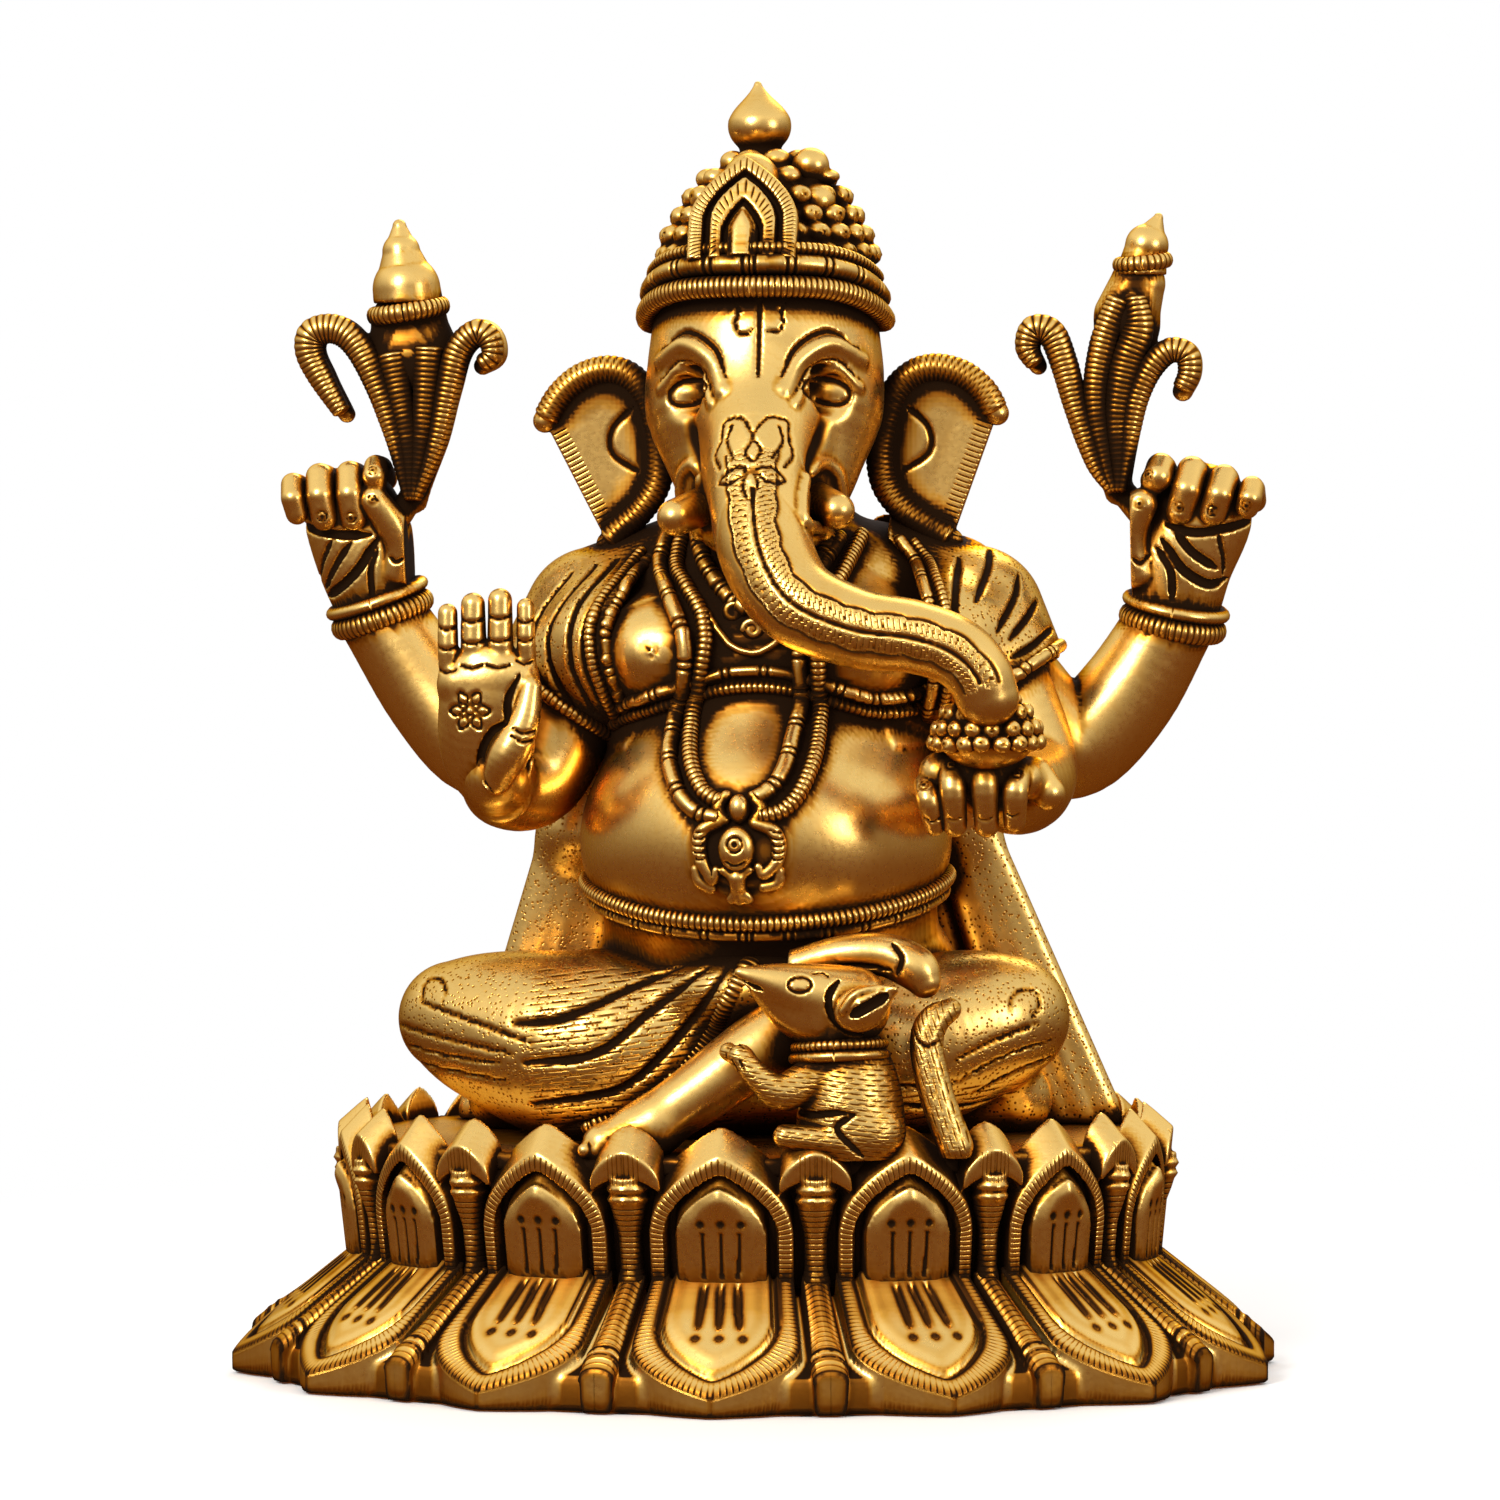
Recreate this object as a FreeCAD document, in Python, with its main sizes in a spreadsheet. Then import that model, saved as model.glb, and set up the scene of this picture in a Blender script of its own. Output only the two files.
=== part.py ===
import FreeCAD, Part
import math
import os
import re

from FreeCAD import Placement, Rotation, Vector

# Brass Ganesha seated on a double lotus base, 305 mm tall.
# The origin is the middle of the base's underside, +Z is up and the figure faces -Y.
# "right" and "left" are the figure's own: its right hand is on the -X side.

SIZES = {
    # lotus base
    "petal_count": 14,
    "skirt_half_width": 126.5,
    "skirt_half_depth": 83,
    "skirt_notch": 9,
    "skirt_edge_height": 5,
    "seam_half_width": 98,
    "seam_half_depth": 61,
    "seam_height": 28,
    "cup_half_width": 101,
    "cup_half_depth": 67,
    "cup_notch": 5,
    "cup_height": 62,
    "deck_top": 56,
    "deck_thickness": 4,
    "base_wall": 5,
    "petal_wall": 12,
    # fixings between the deck and the figure
    "bolt_spacing": 44,
    "bolt_radius": 3,
    "bolt_length": 25,
    "hex_radius": 5.8,
    "hex_height": 4,
    "washer_radius": 6.4,
    "washer_thickness": 1.4,
    "boss_radius": 7,
    "boss_height": 20,
    # figure
    "casting_wall": 4,
    "belly_half_width": 43,
    "belly_half_depth": 40,
    "belly_half_height": 36,
    "chest_half_width": 43,
    "chest_half_depth": 27,
    "chest_half_height": 29,
    "hip_half_width": 44,
    "hip_half_depth": 38,
    "hip_half_height": 27,
    "shoulder_half_width": 50,
    "shoulder_radius": 17,
    "breast_radius": 17,
    "neck_radius": 19,
    "skull_radius": 27,
    "face_half_width": 19,
    "face_half_depth": 19,
    "face_half_height": 24,
    "brow_half_width": 10,
    "brow_half_depth": 8,
    "trunk_radius": 12.5,
    "tusk_radius": 4.4,
    "ear_thickness": 7,
    "thigh_radius": 23,
    "knee_radius": 14.5,
    "shin_radius": 8,
    "upper_arm_radius": 14,
    "elbow_radius": 12,
    "wrist_radius": 9,
    "palm_radius": 13,
    "finger_gap": 6.6,
    "finger_radius": 3.6,
    "cape_thickness": 3,
    "strand_radius": 2.8,
    "outer_strand_half_width": 15,
    "outer_strand_bottom": 131,
    "inner_strand_half_width": 8.5,
    "inner_strand_bottom": 138.5,
    "strand_top": 177,
    "pendant_half_width": 8,
    "pendant_half_depth": 4.5,
    "pendant_half_height": 10,
    "band_thickness": 3.5,
    "band_width": 4.5,
    "bracelet_radius": 12.5,
    "drape_width": 24,
    "drape_thickness": 6,
    "drape_length": 78,
    "cape_drop": 8,
    "sash_radius": 5,
    "sweet_heap_radius": 12,
    "sweet_radius": 4,
    "chest_band_width": 3.2,
    # crown
    "crown_radius": 28,
    "band_height": 7,
    "dome_half_width": 24,
    "dome_half_height": 27,
    "finial_radius": 7.4,
    "finial_height": 18,
    "knob_radius": 4.6,
    "plaque_half_width": 12.5,
    "plaque_height": 23,
    "plaque_thickness": 6,
    # attributes in the raised hands
    "leaf_spread": 22,
    "leaf_stem_radius": 6,
    "leaf_height": 42,
    "leaf_thickness": 15,
    "collar_radius": 9.5,
    "cone_radius": 8.5,
    "cone_height": 19,
    # mouse
    "mouse_radius": 14,
    "mouse_elbow_radius": 4.5,
    "mouse_paw_radius": 3.8,
    "mouse_nape_radius": 9,
    "mouse_cheek_radius": 7.5,
    "mouse_snout_radius": 3,
    "mouse_ear_half_width": 8,
    "mouse_ear_half_depth": 3.5,
    "mouse_ear_half_height": 6.5,
    "mouse_collar_radius": 10,
    "tail_radius": 3.8,
}

# A limb's rounded end: how far out its last two circles lie and how wide they are, as shares
# of the limb's radius there.
BEND_REACH, BEND_SHARE = 0.6, 0.8
TIP_REACH, TIP_SHARE = 0.9, 0.4

# Places are X, Y, Z. Each is three cells of the sheet, such as belly_x, belly_y and belly_z.
PLACES = {
    "belly": (4, -4, 126),
    "chest": (6, 3, 168),
    "hips": (4, 4, 84),
    "shoulders": (5, 12, 183),
    "right_breast": (-17, -11, 171),
    "left_breast": (27, -11, 171),
    "neck_low": (4, 8, 186),
    "neck_high": (4, 6, 206),
    "skull": (4.5, 0, 230),
    "face": (5, -13, 216),
    "trunk_root": (6.5, -29, 221),
    "trunk_high": (7.2, -41, 206.3),
    "trunk_bend": (9.9, -49, 193),
    "trunk_turn": (17.2, -54, 182.5),
    "trunk_level": (32.2, -56, 176.3),
    "trunk_droop": (47.2, -57, 174.5),
    "trunk_fall": (57.0, -58, 168),
    "trunk_tip": (61.0, -59, 159),
    "right_tusk_root": (-6, -22, 205),
    "right_tusk_tip": (-12, -31, 202.5),
    "left_tusk_root": (17, -22, 206),
    "left_tusk_tip": (23.5, -31, 204),
    "right_ear": (-21, 6, 218),
    "left_ear": (30, 6, 218),
    "right_hip_joint": (0, -4, 80),
    "right_thigh_middle": (-36, -14, 77),
    "right_knee": (-71, -8, 83),
    "left_hip_joint": (8, -4, 80),
    "left_thigh_middle": (36, -14, 78),
    "left_knee": (62, -8, 83),
    "shin_top": (18, -37, 86),
    "shin_middle": (3.5, -43, 77),
    "ankle": (-16, -49, 65),
    "toes": (-29, -52, 60),
    "right_rear_shoulder": (-36, 15, 176),
    "right_rear_elbow": (-66, 22, 143),
    "right_rear_wrist": (-90.5, 25, 176),
    "right_fist": (-98.4, 22, 204),
    "left_rear_shoulder": (48, 15, 176),
    "left_rear_elbow": (74, 22, 143),
    "left_rear_wrist": (98, 25, 176),
    "left_fist": (103.5, 22, 204),
    "right_front_shoulder": (-37, 2, 172),
    "right_front_elbow": (-53, -6, 136),
    "right_front_wrist": (-57, -24, 142),
    "right_palm": (-57, -29, 157),
    "left_front_shoulder": (50, 2, 172),
    "left_front_elbow": (65, -2, 138),
    "left_front_wrist": (60, -30, 146),
    "left_palm": (58.5, -41, 141),
    "sweets": (59, -46, 151),
    "pendant": (3.4, -48, 123),
    "right_leaves": (-84.5, 22, 212),
    "left_leaves": (85.5, 22, 212),
    "right_collar": (-85, 22, 254.4),
    "left_collar": (91.5, 22, 257),
    "crown_low": (4.5, -2, 246),
    "crown_high": (4.5, -3, 253),
    "dome": (4.5, 4, 262),
    "finial": (2.5, 7, 287),
    "plaque": (2.2, -22, 264),
    "high_knob": (15.5, -3, 284.5),
    "low_knob": (18, -6, 276),
    "mouse_body": (28, -52, 68),
    "mouse_nape": (33, -52, 92),
    "mouse_cheek": (20, -57, 96),
    "mouse_snout": (7, -60, 99.5),
    "mouse_ear": (33.5, -61, 91.6),
    "mouse_neck": (27, -54, 82),
    "mouse_elbow": (21, -60, 74),
    "mouse_paw": (4.5, -57, 81),
    "tail_top": (49, -45, 86),
    "tail_foot": (53.5, -49, 58),
    "sash_top": (30, -38, 99),
    "sash_end": (43, -44, 93),
    "right_drape": (-50, 24, 92),
    "left_drape": (66, 22, 92),
    "hem_top": (2, -37, 99),
    "hem_middle": (-12, -42, 80),
    "hem_low": (-30, -42, 62),
}

document = FreeCAD.newDocument("GaneshaIdol")
sheet = document.addObject("Spreadsheet::Sheet", "Dimensions")
subparts = []
tools = []


def fill_sheet():
    """Writes every size and place to the sheet as a plain number with an alias."""
    cells = dict(SIZES)
    for name, spot in PLACES.items():
        for axis, value in zip("xyz", spot):
            cells[f"{name}_{axis}"] = value
    for row, (alias, value) in enumerate(cells.items(), start=1):
        sheet.set(f"A{row}", alias)
        sheet.set(f"B{row}", str(value))
        sheet.setAlias(f"B{row}", alias)
    document.recompute()


def size(alias):
    return float(sheet.get(alias))


def place(name):
    return Vector(*(size(f"{name}_{axis}") for axis in "xyz"))


def bind(item, **expressions):
    """Binds properties to the sheet; words in an expression are aliases."""
    for name, text in expressions.items():
        aliased = re.sub(r"[a-z_]+[a-z]", lambda word: f"Dimensions.{word.group()}", str(text))
        item.setExpression(name.replace("__", "."), aliased)
    return item


def put(item, at, turn=Rotation(), dx=0, dy=0, dz=0):
    """Binds an object's position to a place of the sheet, plus an offset."""
    item.Placement = Placement(place(at), turn)
    for axis, offset in zip("xyz", (dx, dy, dz)):
        bind(item, **{f"Placement__Base__{axis}": f"{at}_{axis} + ({offset})"})
    return item


def ellipsoid(name, at, across, deep, tall, turn=Rotation(), **offset):
    """Ellipsoid by its half-axes along X, Y and Z."""
    item = document.addObject("Part::Ellipsoid", name)
    item.Angle1 = -90
    item.Angle2 = 90
    bind(item, Radius1=tall, Radius2=across, Radius3=deep)
    return put(item, at, turn, **offset)


def cylinder(name, at, radius, height, turn=Rotation(), **offset):
    item = document.addObject("Part::Cylinder", name)
    bind(item, Radius=radius, Height=height)
    return put(item, at, turn, **offset)


def torus(name, at, radius, thickness, turn=Rotation(), **offset):
    item = document.addObject("Part::Torus", name)
    bind(item, Radius1=radius, Radius2=thickness)
    return put(item, at, turn, **offset)


def toward(direction):
    """The turn that carries +Z onto a direction."""
    return Rotation(Vector(0, 0, 1), direction)


def fused(name, pieces):
    item = document.addObject("Part::MultiFuse", name)
    item.Shapes = pieces
    return item


def cut(name, base, tool):
    item = document.addObject("Part::Cut", name)
    item.Base = base
    item.Tool = tool
    return item


def common(name, one, other):
    item = document.addObject("Part::MultiCommon", name)
    item.Shapes = [one, other]
    return item


def ring_point(name, centre, direction, radius):
    """One circle of a limb, square to the limb's run."""
    circle = document.addObject("Part::Circle", name)
    circle.Placement = Placement(centre, toward(direction))
    bind(circle, Radius=radius)
    return circle


def rounded_end(name, centre, outward, run, radius):
    """Two narrowing circles beyond the end of a limb; outward is one radius long."""
    near = ring_point(f"{name}_near", centre + outward * BEND_REACH, run, f"({radius}) * {BEND_SHARE}")
    tip = ring_point(f"{name}_tip", centre + outward * TIP_REACH, run, f"({radius}) * {TIP_SHARE}")
    return near, tip


def limb(name, stations):
    """Round limb through (place, radius) stations, closed by narrowing ends."""
    points = [place(at) if isinstance(at, str) else at for at, _ in stations]
    radii = [radius for _, radius in stations]
    runs = [after - before for before, after in zip(points, points[1:])]
    runs = [run.normalize() for run in runs]
    aims = [runs[0]] + [one + other for one, other in zip(runs, runs[1:])] + [runs[-1]]
    back = runs[0] * -document_value(radii[0])
    ahead = runs[-1] * document_value(radii[-1])
    near, tip = rounded_end(f"{name}_start", points[0], back, runs[0], radii[0])
    circles = [tip, near]
    for number, (point, aim, radius) in enumerate(zip(points, aims, radii)):
        circles.append(ring_point(f"{name}_ring_{number}", point, aim, radius))
    circles += rounded_end(f"{name}_end", points[-1], ahead, runs[-1], radii[-1])
    item = document.addObject("Part::Loft", name)
    item.Sections = circles
    item.Solid = True
    return item


def document_value(text):
    """The value of a simple size expression, such as 'trunk_radius * 0.8'."""
    factors = [part.strip() for part in str(text).split("*")]
    value = 1.0
    for factor in factors:
        value *= size(factor) if factor[0].isalpha() else float(factor)
    return value


def tight_box(item):
    return item.Shape.optimalBoundingBox()


def is_sound(item):
    return bool(not item.Shape.isNull() and item.Shape.isValid() and item.Shape.Solids)


def trimmed(form):
    """The form less every earlier sub-part that it runs into."""
    document.recompute()
    form_box = tight_box(form)
    for tool, tool_box in tools:
        if form_box.intersect(tool_box) and form.Shape.common(tool.Shape).Volume > 0.01:
            shorter = cut(f"{form.Name}_trim", form, tool)
            shorter.recompute()
            if is_sound(shorter):
                form = shorter
            else:
                print(f"{form.Name} still overlaps {tool.Name}")
                document.removeObject(shorter.Name)
    return form


def finish(label, form, core=None):
    """Adds a sub-part: trimmed against the earlier ones, then hollowed by its core."""
    solid = trimmed(form)
    tools.append((solid, tight_box(solid)))
    part = cut(f"{label}_casting", solid, core) if core else solid
    part.Label = label
    subparts.append(part)


# ---------------------------------------------------------------- lotus base


def base_body(label):
    body = document.addObject("PartDesign::Body", label)
    body.Label = label
    return body


def flat_sketch(body, name, height):
    """A sketch on the body's own XY plane, lifted to a height."""
    sketch = body.newObject("Sketcher::SketchObject", name)
    plane = next(item for item in body.Origin.OriginFeatures if item.Role == "XY_Plane")
    sketch.AttachmentSupport = [(plane, "")]
    sketch.MapMode = "FlatFace"
    bind(sketch, AttachmentOffset__Base__z=height)
    return sketch


def side_sketch(body, name):
    """A sketch on the body's own XZ plane: its x is across and its y is up."""
    sketch = body.newObject("Sketcher::SketchObject", name)
    plane = next(item for item in body.Origin.OriginFeatures if item.Role == "XZ_Plane")
    sketch.AttachmentSupport = [(plane, "")]
    sketch.MapMode = "FlatFace"
    return sketch


def closed_outline(sketch, corners):
    """Straight lines through (across, up) corners and back to the first one."""
    points = [Vector(across, up, 0) for across, up in corners]
    for start, end in zip(points, points[1:] + points[:1]):
        sketch.addGeometry(Part.LineSegment(start, end))


def petal_outline(sketch, half_width, half_depth, notch):
    """Closed ring of arcs on an ellipse, one arc per petal, with a petal at the front."""
    count = int(size("petal_count"))
    step = 2 * math.pi / count

    def on_ellipse(angle, inset):
        return Vector((half_width - inset) * math.sin(angle), -(half_depth - inset) * math.cos(angle), 0)

    for number in range(count):
        middle = number * step
        start = on_ellipse(middle - step / 2, notch)
        end = on_ellipse(middle + step / 2, notch)
        sketch.addGeometry(Part.Arc(start, on_ellipse(middle, 0), end))


def ellipse_outline(sketch, half_width, half_depth):
    sketch.addGeometry(Part.Ellipse(Vector(0, 0, 0), half_width, half_depth))


def loft_between(body, kind, name, low, high):
    loft = body.newObject(f"PartDesign::{kind}Loft", name)
    loft.Profile = low
    loft.Sections = [high]
    return loft


def lotus_skirt():
    """Lower ring of petals: an upright edge, then a slope up to the seam ring."""
    body = base_body("lotus_skirt")
    wide, deep, notch = size("skirt_half_width"), size("skirt_half_depth"), size("skirt_notch")
    seam_wide, seam_deep = size("seam_half_width"), size("seam_half_depth")
    wall = size("base_wall")

    foot = flat_sketch(body, "skirt_foot", 0)
    petal_outline(foot, wide, deep, notch)
    edge = body.newObject("PartDesign::Pad", "skirt_edge")
    edge.Profile = foot
    bind(edge, Length="skirt_edge_height")

    brim = flat_sketch(body, "skirt_brim", "skirt_edge_height")
    petal_outline(brim, wide, deep, notch)
    seam = flat_sketch(body, "skirt_seam", "seam_height")
    petal_outline(seam, seam_wide, seam_deep, 0)
    loft_between(body, "Additive", "skirt_slope", brim, seam)

    inside_low = flat_sketch(body, "skirt_hollow_low", 0)
    ellipse_outline(inside_low, wide - notch - 2 * wall, deep - notch - 2 * wall)
    inside_high = flat_sketch(body, "skirt_hollow_high", "seam_height")
    ellipse_outline(inside_high, seam_wide - 2 * wall, seam_deep - 2 * wall)
    loft_between(body, "Subtractive", "skirt_hollow", inside_low, inside_high)
    finish("lotus_skirt", body)


def lotus_cup():
    """Upper ring of petals around a closed deck, hollow beneath the deck."""
    body = base_body("lotus_cup")
    wall = size("base_wall")
    seam_wide, seam_deep = size("seam_half_width"), size("seam_half_depth")
    top_wide, top_deep = size("cup_half_width"), size("cup_half_depth")

    foot = flat_sketch(body, "cup_foot", "seam_height")
    petal_outline(foot, seam_wide - wall / 2, seam_deep - wall / 2, 0)
    brim = flat_sketch(body, "cup_brim", "cup_height")
    petal_outline(brim, top_wide, top_deep, size("cup_notch"))
    loft_between(body, "Additive", "cup_petals", foot, brim)

    inside_low = flat_sketch(body, "cup_hollow_low", "seam_height")
    ellipse_outline(inside_low, seam_wide - 2 * wall, seam_deep - 2 * wall)
    inside_high = flat_sketch(body, "cup_hollow_high", "deck_top - deck_thickness")
    ellipse_outline(inside_high, seam_wide - 2 * wall, seam_deep - 2 * wall)
    loft_between(body, "Subtractive", "cup_hollow", inside_low, inside_high)

    recess_low = flat_sketch(body, "deck_recess_low", "deck_top")
    ellipse_outline(recess_low, top_wide - size("petal_wall"), top_deep - size("petal_wall"))
    recess = body.newObject("PartDesign::Pocket", "deck_recess")
    recess.Profile = recess_low
    recess.Reversed = True
    bind(recess, Length="cup_height - deck_top")

    holes = flat_sketch(body, "deck_holes", "deck_top")
    for side in (-1, 1):
        centre = Vector(side * size("bolt_spacing") / 2, size("hips_y"), 0)
        holes.addGeometry(Part.Circle(centre, Vector(0, 0, 1), size("bolt_radius")))
    drill = body.newObject("PartDesign::Pocket", "deck_drilling")
    drill.Profile = holes
    bind(drill, Length="deck_thickness")
    finish("lotus_cup", body)


def on_bolt_axes(make):
    """Calls make(side, x offset) for both bolts and joins the results into one group."""
    items = [make(side, f"-hips_x + {side} * bolt_spacing / 2") for side in (-1, 1)]
    group = document.addObject("Part::Compound", f"{items[0].Name}_pair")
    group.Links = items
    return group


def one_bolt(side, dx):
    """Hexagon bolt that comes up through the deck from below."""
    name = "bolt_left" if side > 0 else "bolt_right"
    under = "-hips_z + deck_top - deck_thickness - washer_thickness"
    head = document.addObject("Part::Prism", f"{name}_hexagon")
    head.Polygon = 6
    bind(head, Circumradius="hex_radius", Height="hex_height")
    put(head, "hips", dx=dx, dz=f"{under} - hex_height")
    shank = cylinder(f"{name}_shank", "hips", "bolt_radius", "bolt_length", dx=dx, dz=under)
    return fused(name, [head, shank])


def one_washer(side, dx):
    name = "washer_left" if side > 0 else "washer_right"
    under = "-hips_z + deck_top - deck_thickness - washer_thickness"
    disc = cylinder(f"{name}_disc", "hips", "washer_radius", "washer_thickness", dx=dx, dz=under)
    hole = cylinder(f"{name}_hole", "hips", "bolt_radius", "washer_thickness", dx=dx, dz=under)
    return cut(name, disc, hole)


def one_boss(side, dx):
    """Drilled post inside the torso casting that a bolt screws into."""
    name = "boss_left" if side > 0 else "boss_right"
    return cylinder(name, "hips", "boss_radius", "boss_height", dx=dx, dz="-hips_z + deck_top")


# ---------------------------------------------------------------- figure


def below_deck():
    """Everything under the deck's top, which every seated piece is cut off by."""
    item = document.addObject("Part::Box", "below_deck")
    bind(item, Length="2 * skirt_half_width", Width="2 * skirt_half_depth", Height="deck_top")
    bind(item, Placement__Base__x="-skirt_half_width", Placement__Base__y="-skirt_half_depth")
    return item


def torso_shapes(inset):
    """The rounded masses of the torso, each smaller by the inset."""
    return [
        ellipsoid("belly", "belly", f"belly_half_width - {inset}",
                  f"belly_half_depth - {inset}", f"belly_half_height - {inset}"),
        ellipsoid("chest", "chest", f"chest_half_width - {inset}",
                  f"chest_half_depth - {inset}", f"chest_half_height - {inset}"),
        ellipsoid("hips", "hips", f"hip_half_width - {inset}",
                  f"hip_half_depth - {inset}", f"hip_half_height - {inset}"),
        ellipsoid("shoulders", "shoulders", f"shoulder_half_width - {inset}",
                  f"shoulder_radius - {inset}", f"shoulder_radius - {inset}"),
    ]


def torso(floor):
    """Hollow casting with belly, chest, hips, shoulders and neck, open at the bottom."""
    soft = "breast_radius"
    outside = torso_shapes("0") + [
        ellipsoid("right_breast", "right_breast", soft, f"{soft} * 0.8", f"{soft} * 0.8"),
        ellipsoid("left_breast", "left_breast", soft, f"{soft} * 0.8", f"{soft} * 0.8"),
        limb("neck", [("neck_low", "neck_radius"), ("neck_high", "neck_radius * 0.9")]),
    ]
    form = cut("torso_seat", fused("torso_form", outside), floor)
    bosses = on_bolt_axes(one_boss)
    core = cut("torso_core", fused("torso_hollow", torso_shapes("casting_wall")), bosses)
    drilled = cut("torso_drilled", form, core)
    bolts = next(part for part in subparts if part.Label == "figure_bolts")
    document.recompute()
    tools.append((form, tight_box(form)))
    part = cut("torso_casting", drilled, bolts)
    part.Label = "torso"
    subparts.append(part)


def thigh(side, floor):
    """Hollow folded leg with its cloth, from the hip to the knee."""
    def stations(inset):
        return [
            (f"{side}_hip_joint", f"thigh_radius {inset}"),
            (f"{side}_thigh_middle", f"thigh_radius {inset}"),
            (f"{side}_knee", f"knee_radius {inset}"),
        ]

    form = cut(f"{side}_thigh_seat", limb(f"{side}_thigh_form", stations("")), floor)
    core = limb(f"{side}_thigh_core", stations("* 0.8"))
    finish(f"{side}_thigh", form, core)


def shin(floor):
    """Bare left shin and foot, folded across the front."""
    leg = limb("left_shin_form", [
        ("shin_top", "shin_radius"),
        ("shin_middle", "shin_radius"),
        ("ankle", "shin_radius * 0.85"),
        ("toes", "shin_radius * 0.6"),
    ])
    finish("left_shin", cut("left_shin_seat", leg, floor))


def head():
    """Hollow elephant head: round skull, narrower face and two brow swellings."""
    wide, deep, tall = "face_half_width", "face_half_depth", "face_half_height"
    skull = ellipsoid("skull", "skull", "skull_radius", "skull_radius * 0.95", "skull_radius")
    face = ellipsoid("face", "face", wide, deep, tall)
    brows = [
        ellipsoid(f"brow_{side}", "skull", "brow_half_width", "brow_half_depth", "brow_half_depth",
                  dx=dx, dy=-18, dz=4)
        for side, dx in (("right", -12), ("left", 14))
    ]
    core = ellipsoid("skull_core", "skull", "skull_radius - casting_wall",
                     "skull_radius * 0.95 - casting_wall", "skull_radius - casting_wall")
    finish("head", fused("head_form", [skull, face] + brows), core)


def trunk():
    names = ("root", "high", "bend", "turn", "level", "droop", "fall", "tip")
    taper = (1.05, 0.9, 0.82, 0.76, 0.7, 0.64, 0.58, 0.5)
    stations = [(f"trunk_{name}", f"trunk_radius * {share}") for name, share in zip(names, taper)]
    finish("trunk", limb("trunk_form", stations))


def tusk(side):
    stations = [(f"{side}_tusk_root", "tusk_radius"), (f"{side}_tusk_tip", "tusk_radius * 0.9")]
    finish(f"{side}_tusk", limb(f"{side}_tusk_form", stations))


def ear(side, mirror):
    """Fan-shaped flap: rounded top, a straight outer edge and a lobe at the bottom."""
    body = base_body(f"{side}_ear_form")
    sketch = side_sketch(body, f"{side}_ear_outline")
    corners = {
        "inner_top": Vector(mirror * -2, 14, 0),
        "top": Vector(mirror * 13, 22, 0),
        "outer_top": Vector(mirror * 28, 12, 0),
        "outer_low": Vector(mirror * 16, -10, 0),
        "lobe": Vector(mirror * 12, -21, 0),
        "inner_low": Vector(mirror * 0, -14, 0),
    }
    arcs = (("inner_top", "top", "outer_top"), ("outer_low", "lobe", "inner_low"))
    for start, middle, end in arcs:
        sketch.addGeometry(Part.Arc(corners[start], corners[middle], corners[end]))
    sketch.addGeometry(Part.LineSegment(corners["outer_top"], corners["outer_low"]))
    sketch.addGeometry(Part.LineSegment(corners["inner_low"], corners["inner_top"]))
    pad = body.newObject("PartDesign::Pad", f"{side}_ear_pad")
    pad.Profile = sketch
    pad.Midplane = True
    bind(pad, Length="ear_thickness")
    put(body, f"{side}_ear")
    finish(f"{side}_ear", body)


def arm(label, shoulder, elbow, wrist):
    """Bent arm: an upper arm and a forearm that meet at the elbow."""
    upper = limb(f"{label}_upper", [(shoulder, "upper_arm_radius"), (elbow, "elbow_radius")])
    lower = limb(f"{label}_lower", [(elbow, "elbow_radius"), (wrist, "wrist_radius")])
    finish(label, fused(f"{label}_form", [upper, lower]))


def fist(side):
    """Raised closed hand: a palm above the wrist and four curled fingers."""
    palm = limb(f"{side}_fist_palm", [
        (f"{side}_rear_wrist", "wrist_radius"),
        (f"{side}_fist", "palm_radius"),
    ])
    fingers = [
        ellipsoid(f"{side}_curled_finger_{number}", f"{side}_fist", "finger_radius * 1.2",
                  "finger_radius * 2.8", "finger_radius * 2.4",
                  dx=f"{number} * 2.1 * finger_radius", dy=-5, dz=8)
        for number in (-1.5, -0.5, 0.5, 1.5)
    ]
    finish(f"{side}_raised_fist", fused(f"{side}_fist_form", [palm] + fingers))


def bracelet(side):
    run = place(f"{side}_fist") - place(f"{side}_rear_wrist")
    ring = torus(f"{side}_bracelet_form", f"{side}_rear_wrist", "bracelet_radius - band_thickness",
                 "band_thickness", toward(run))
    finish(f"{side}_bracelet", ring)


def blessing_hand():
    """Open palm facing forwards with four upright fingers and a thumb."""
    centre = place("right_palm")
    palm = ellipsoid("blessing_palm", "right_palm", "palm_radius * 0.95", "palm_radius * 0.45",
                     "palm_radius * 1.2")
    fingers = []
    for number, height in zip(range(4), (24, 27.5, 27, 23)):
        across = (number - 1.5) * size("finger_gap")
        root = centre + Vector(across, 0, 8)
        tip = centre + Vector(across, -1, height)
        stations = [(root, "finger_radius"), (tip, "finger_radius * 0.9")]
        fingers.append(limb(f"blessing_finger_{number}", stations))
    thumb = limb("blessing_thumb", [
        (centre + Vector(10, -4, -8), "finger_radius * 1.2"),
        (centre + Vector(14, -6, 4), "finger_radius"),
    ])
    finish("blessing_hand", fused("blessing_hand_form", [palm, thumb] + fingers))


def sweet_hand():
    """Cupped left hand with four fingers hanging in front of the sweets."""
    centre = place("left_palm")
    palm = ellipsoid("cupped_palm", "left_palm", "palm_radius", "palm_radius * 0.8",
                     "palm_radius * 0.7")
    fingers = []
    for number in range(4):
        across = (number - 1.5) * size("finger_gap")
        root = centre + Vector(across, -8, 5)
        tip = centre + Vector(across, -11, -8)
        stations = [(root, "finger_radius"), (tip, "finger_radius * 0.9")]
        fingers.append(limb(f"cupped_finger_{number}", stations))
    finish("sweet_hand", fused("sweet_hand_form", [palm] + fingers))


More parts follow.
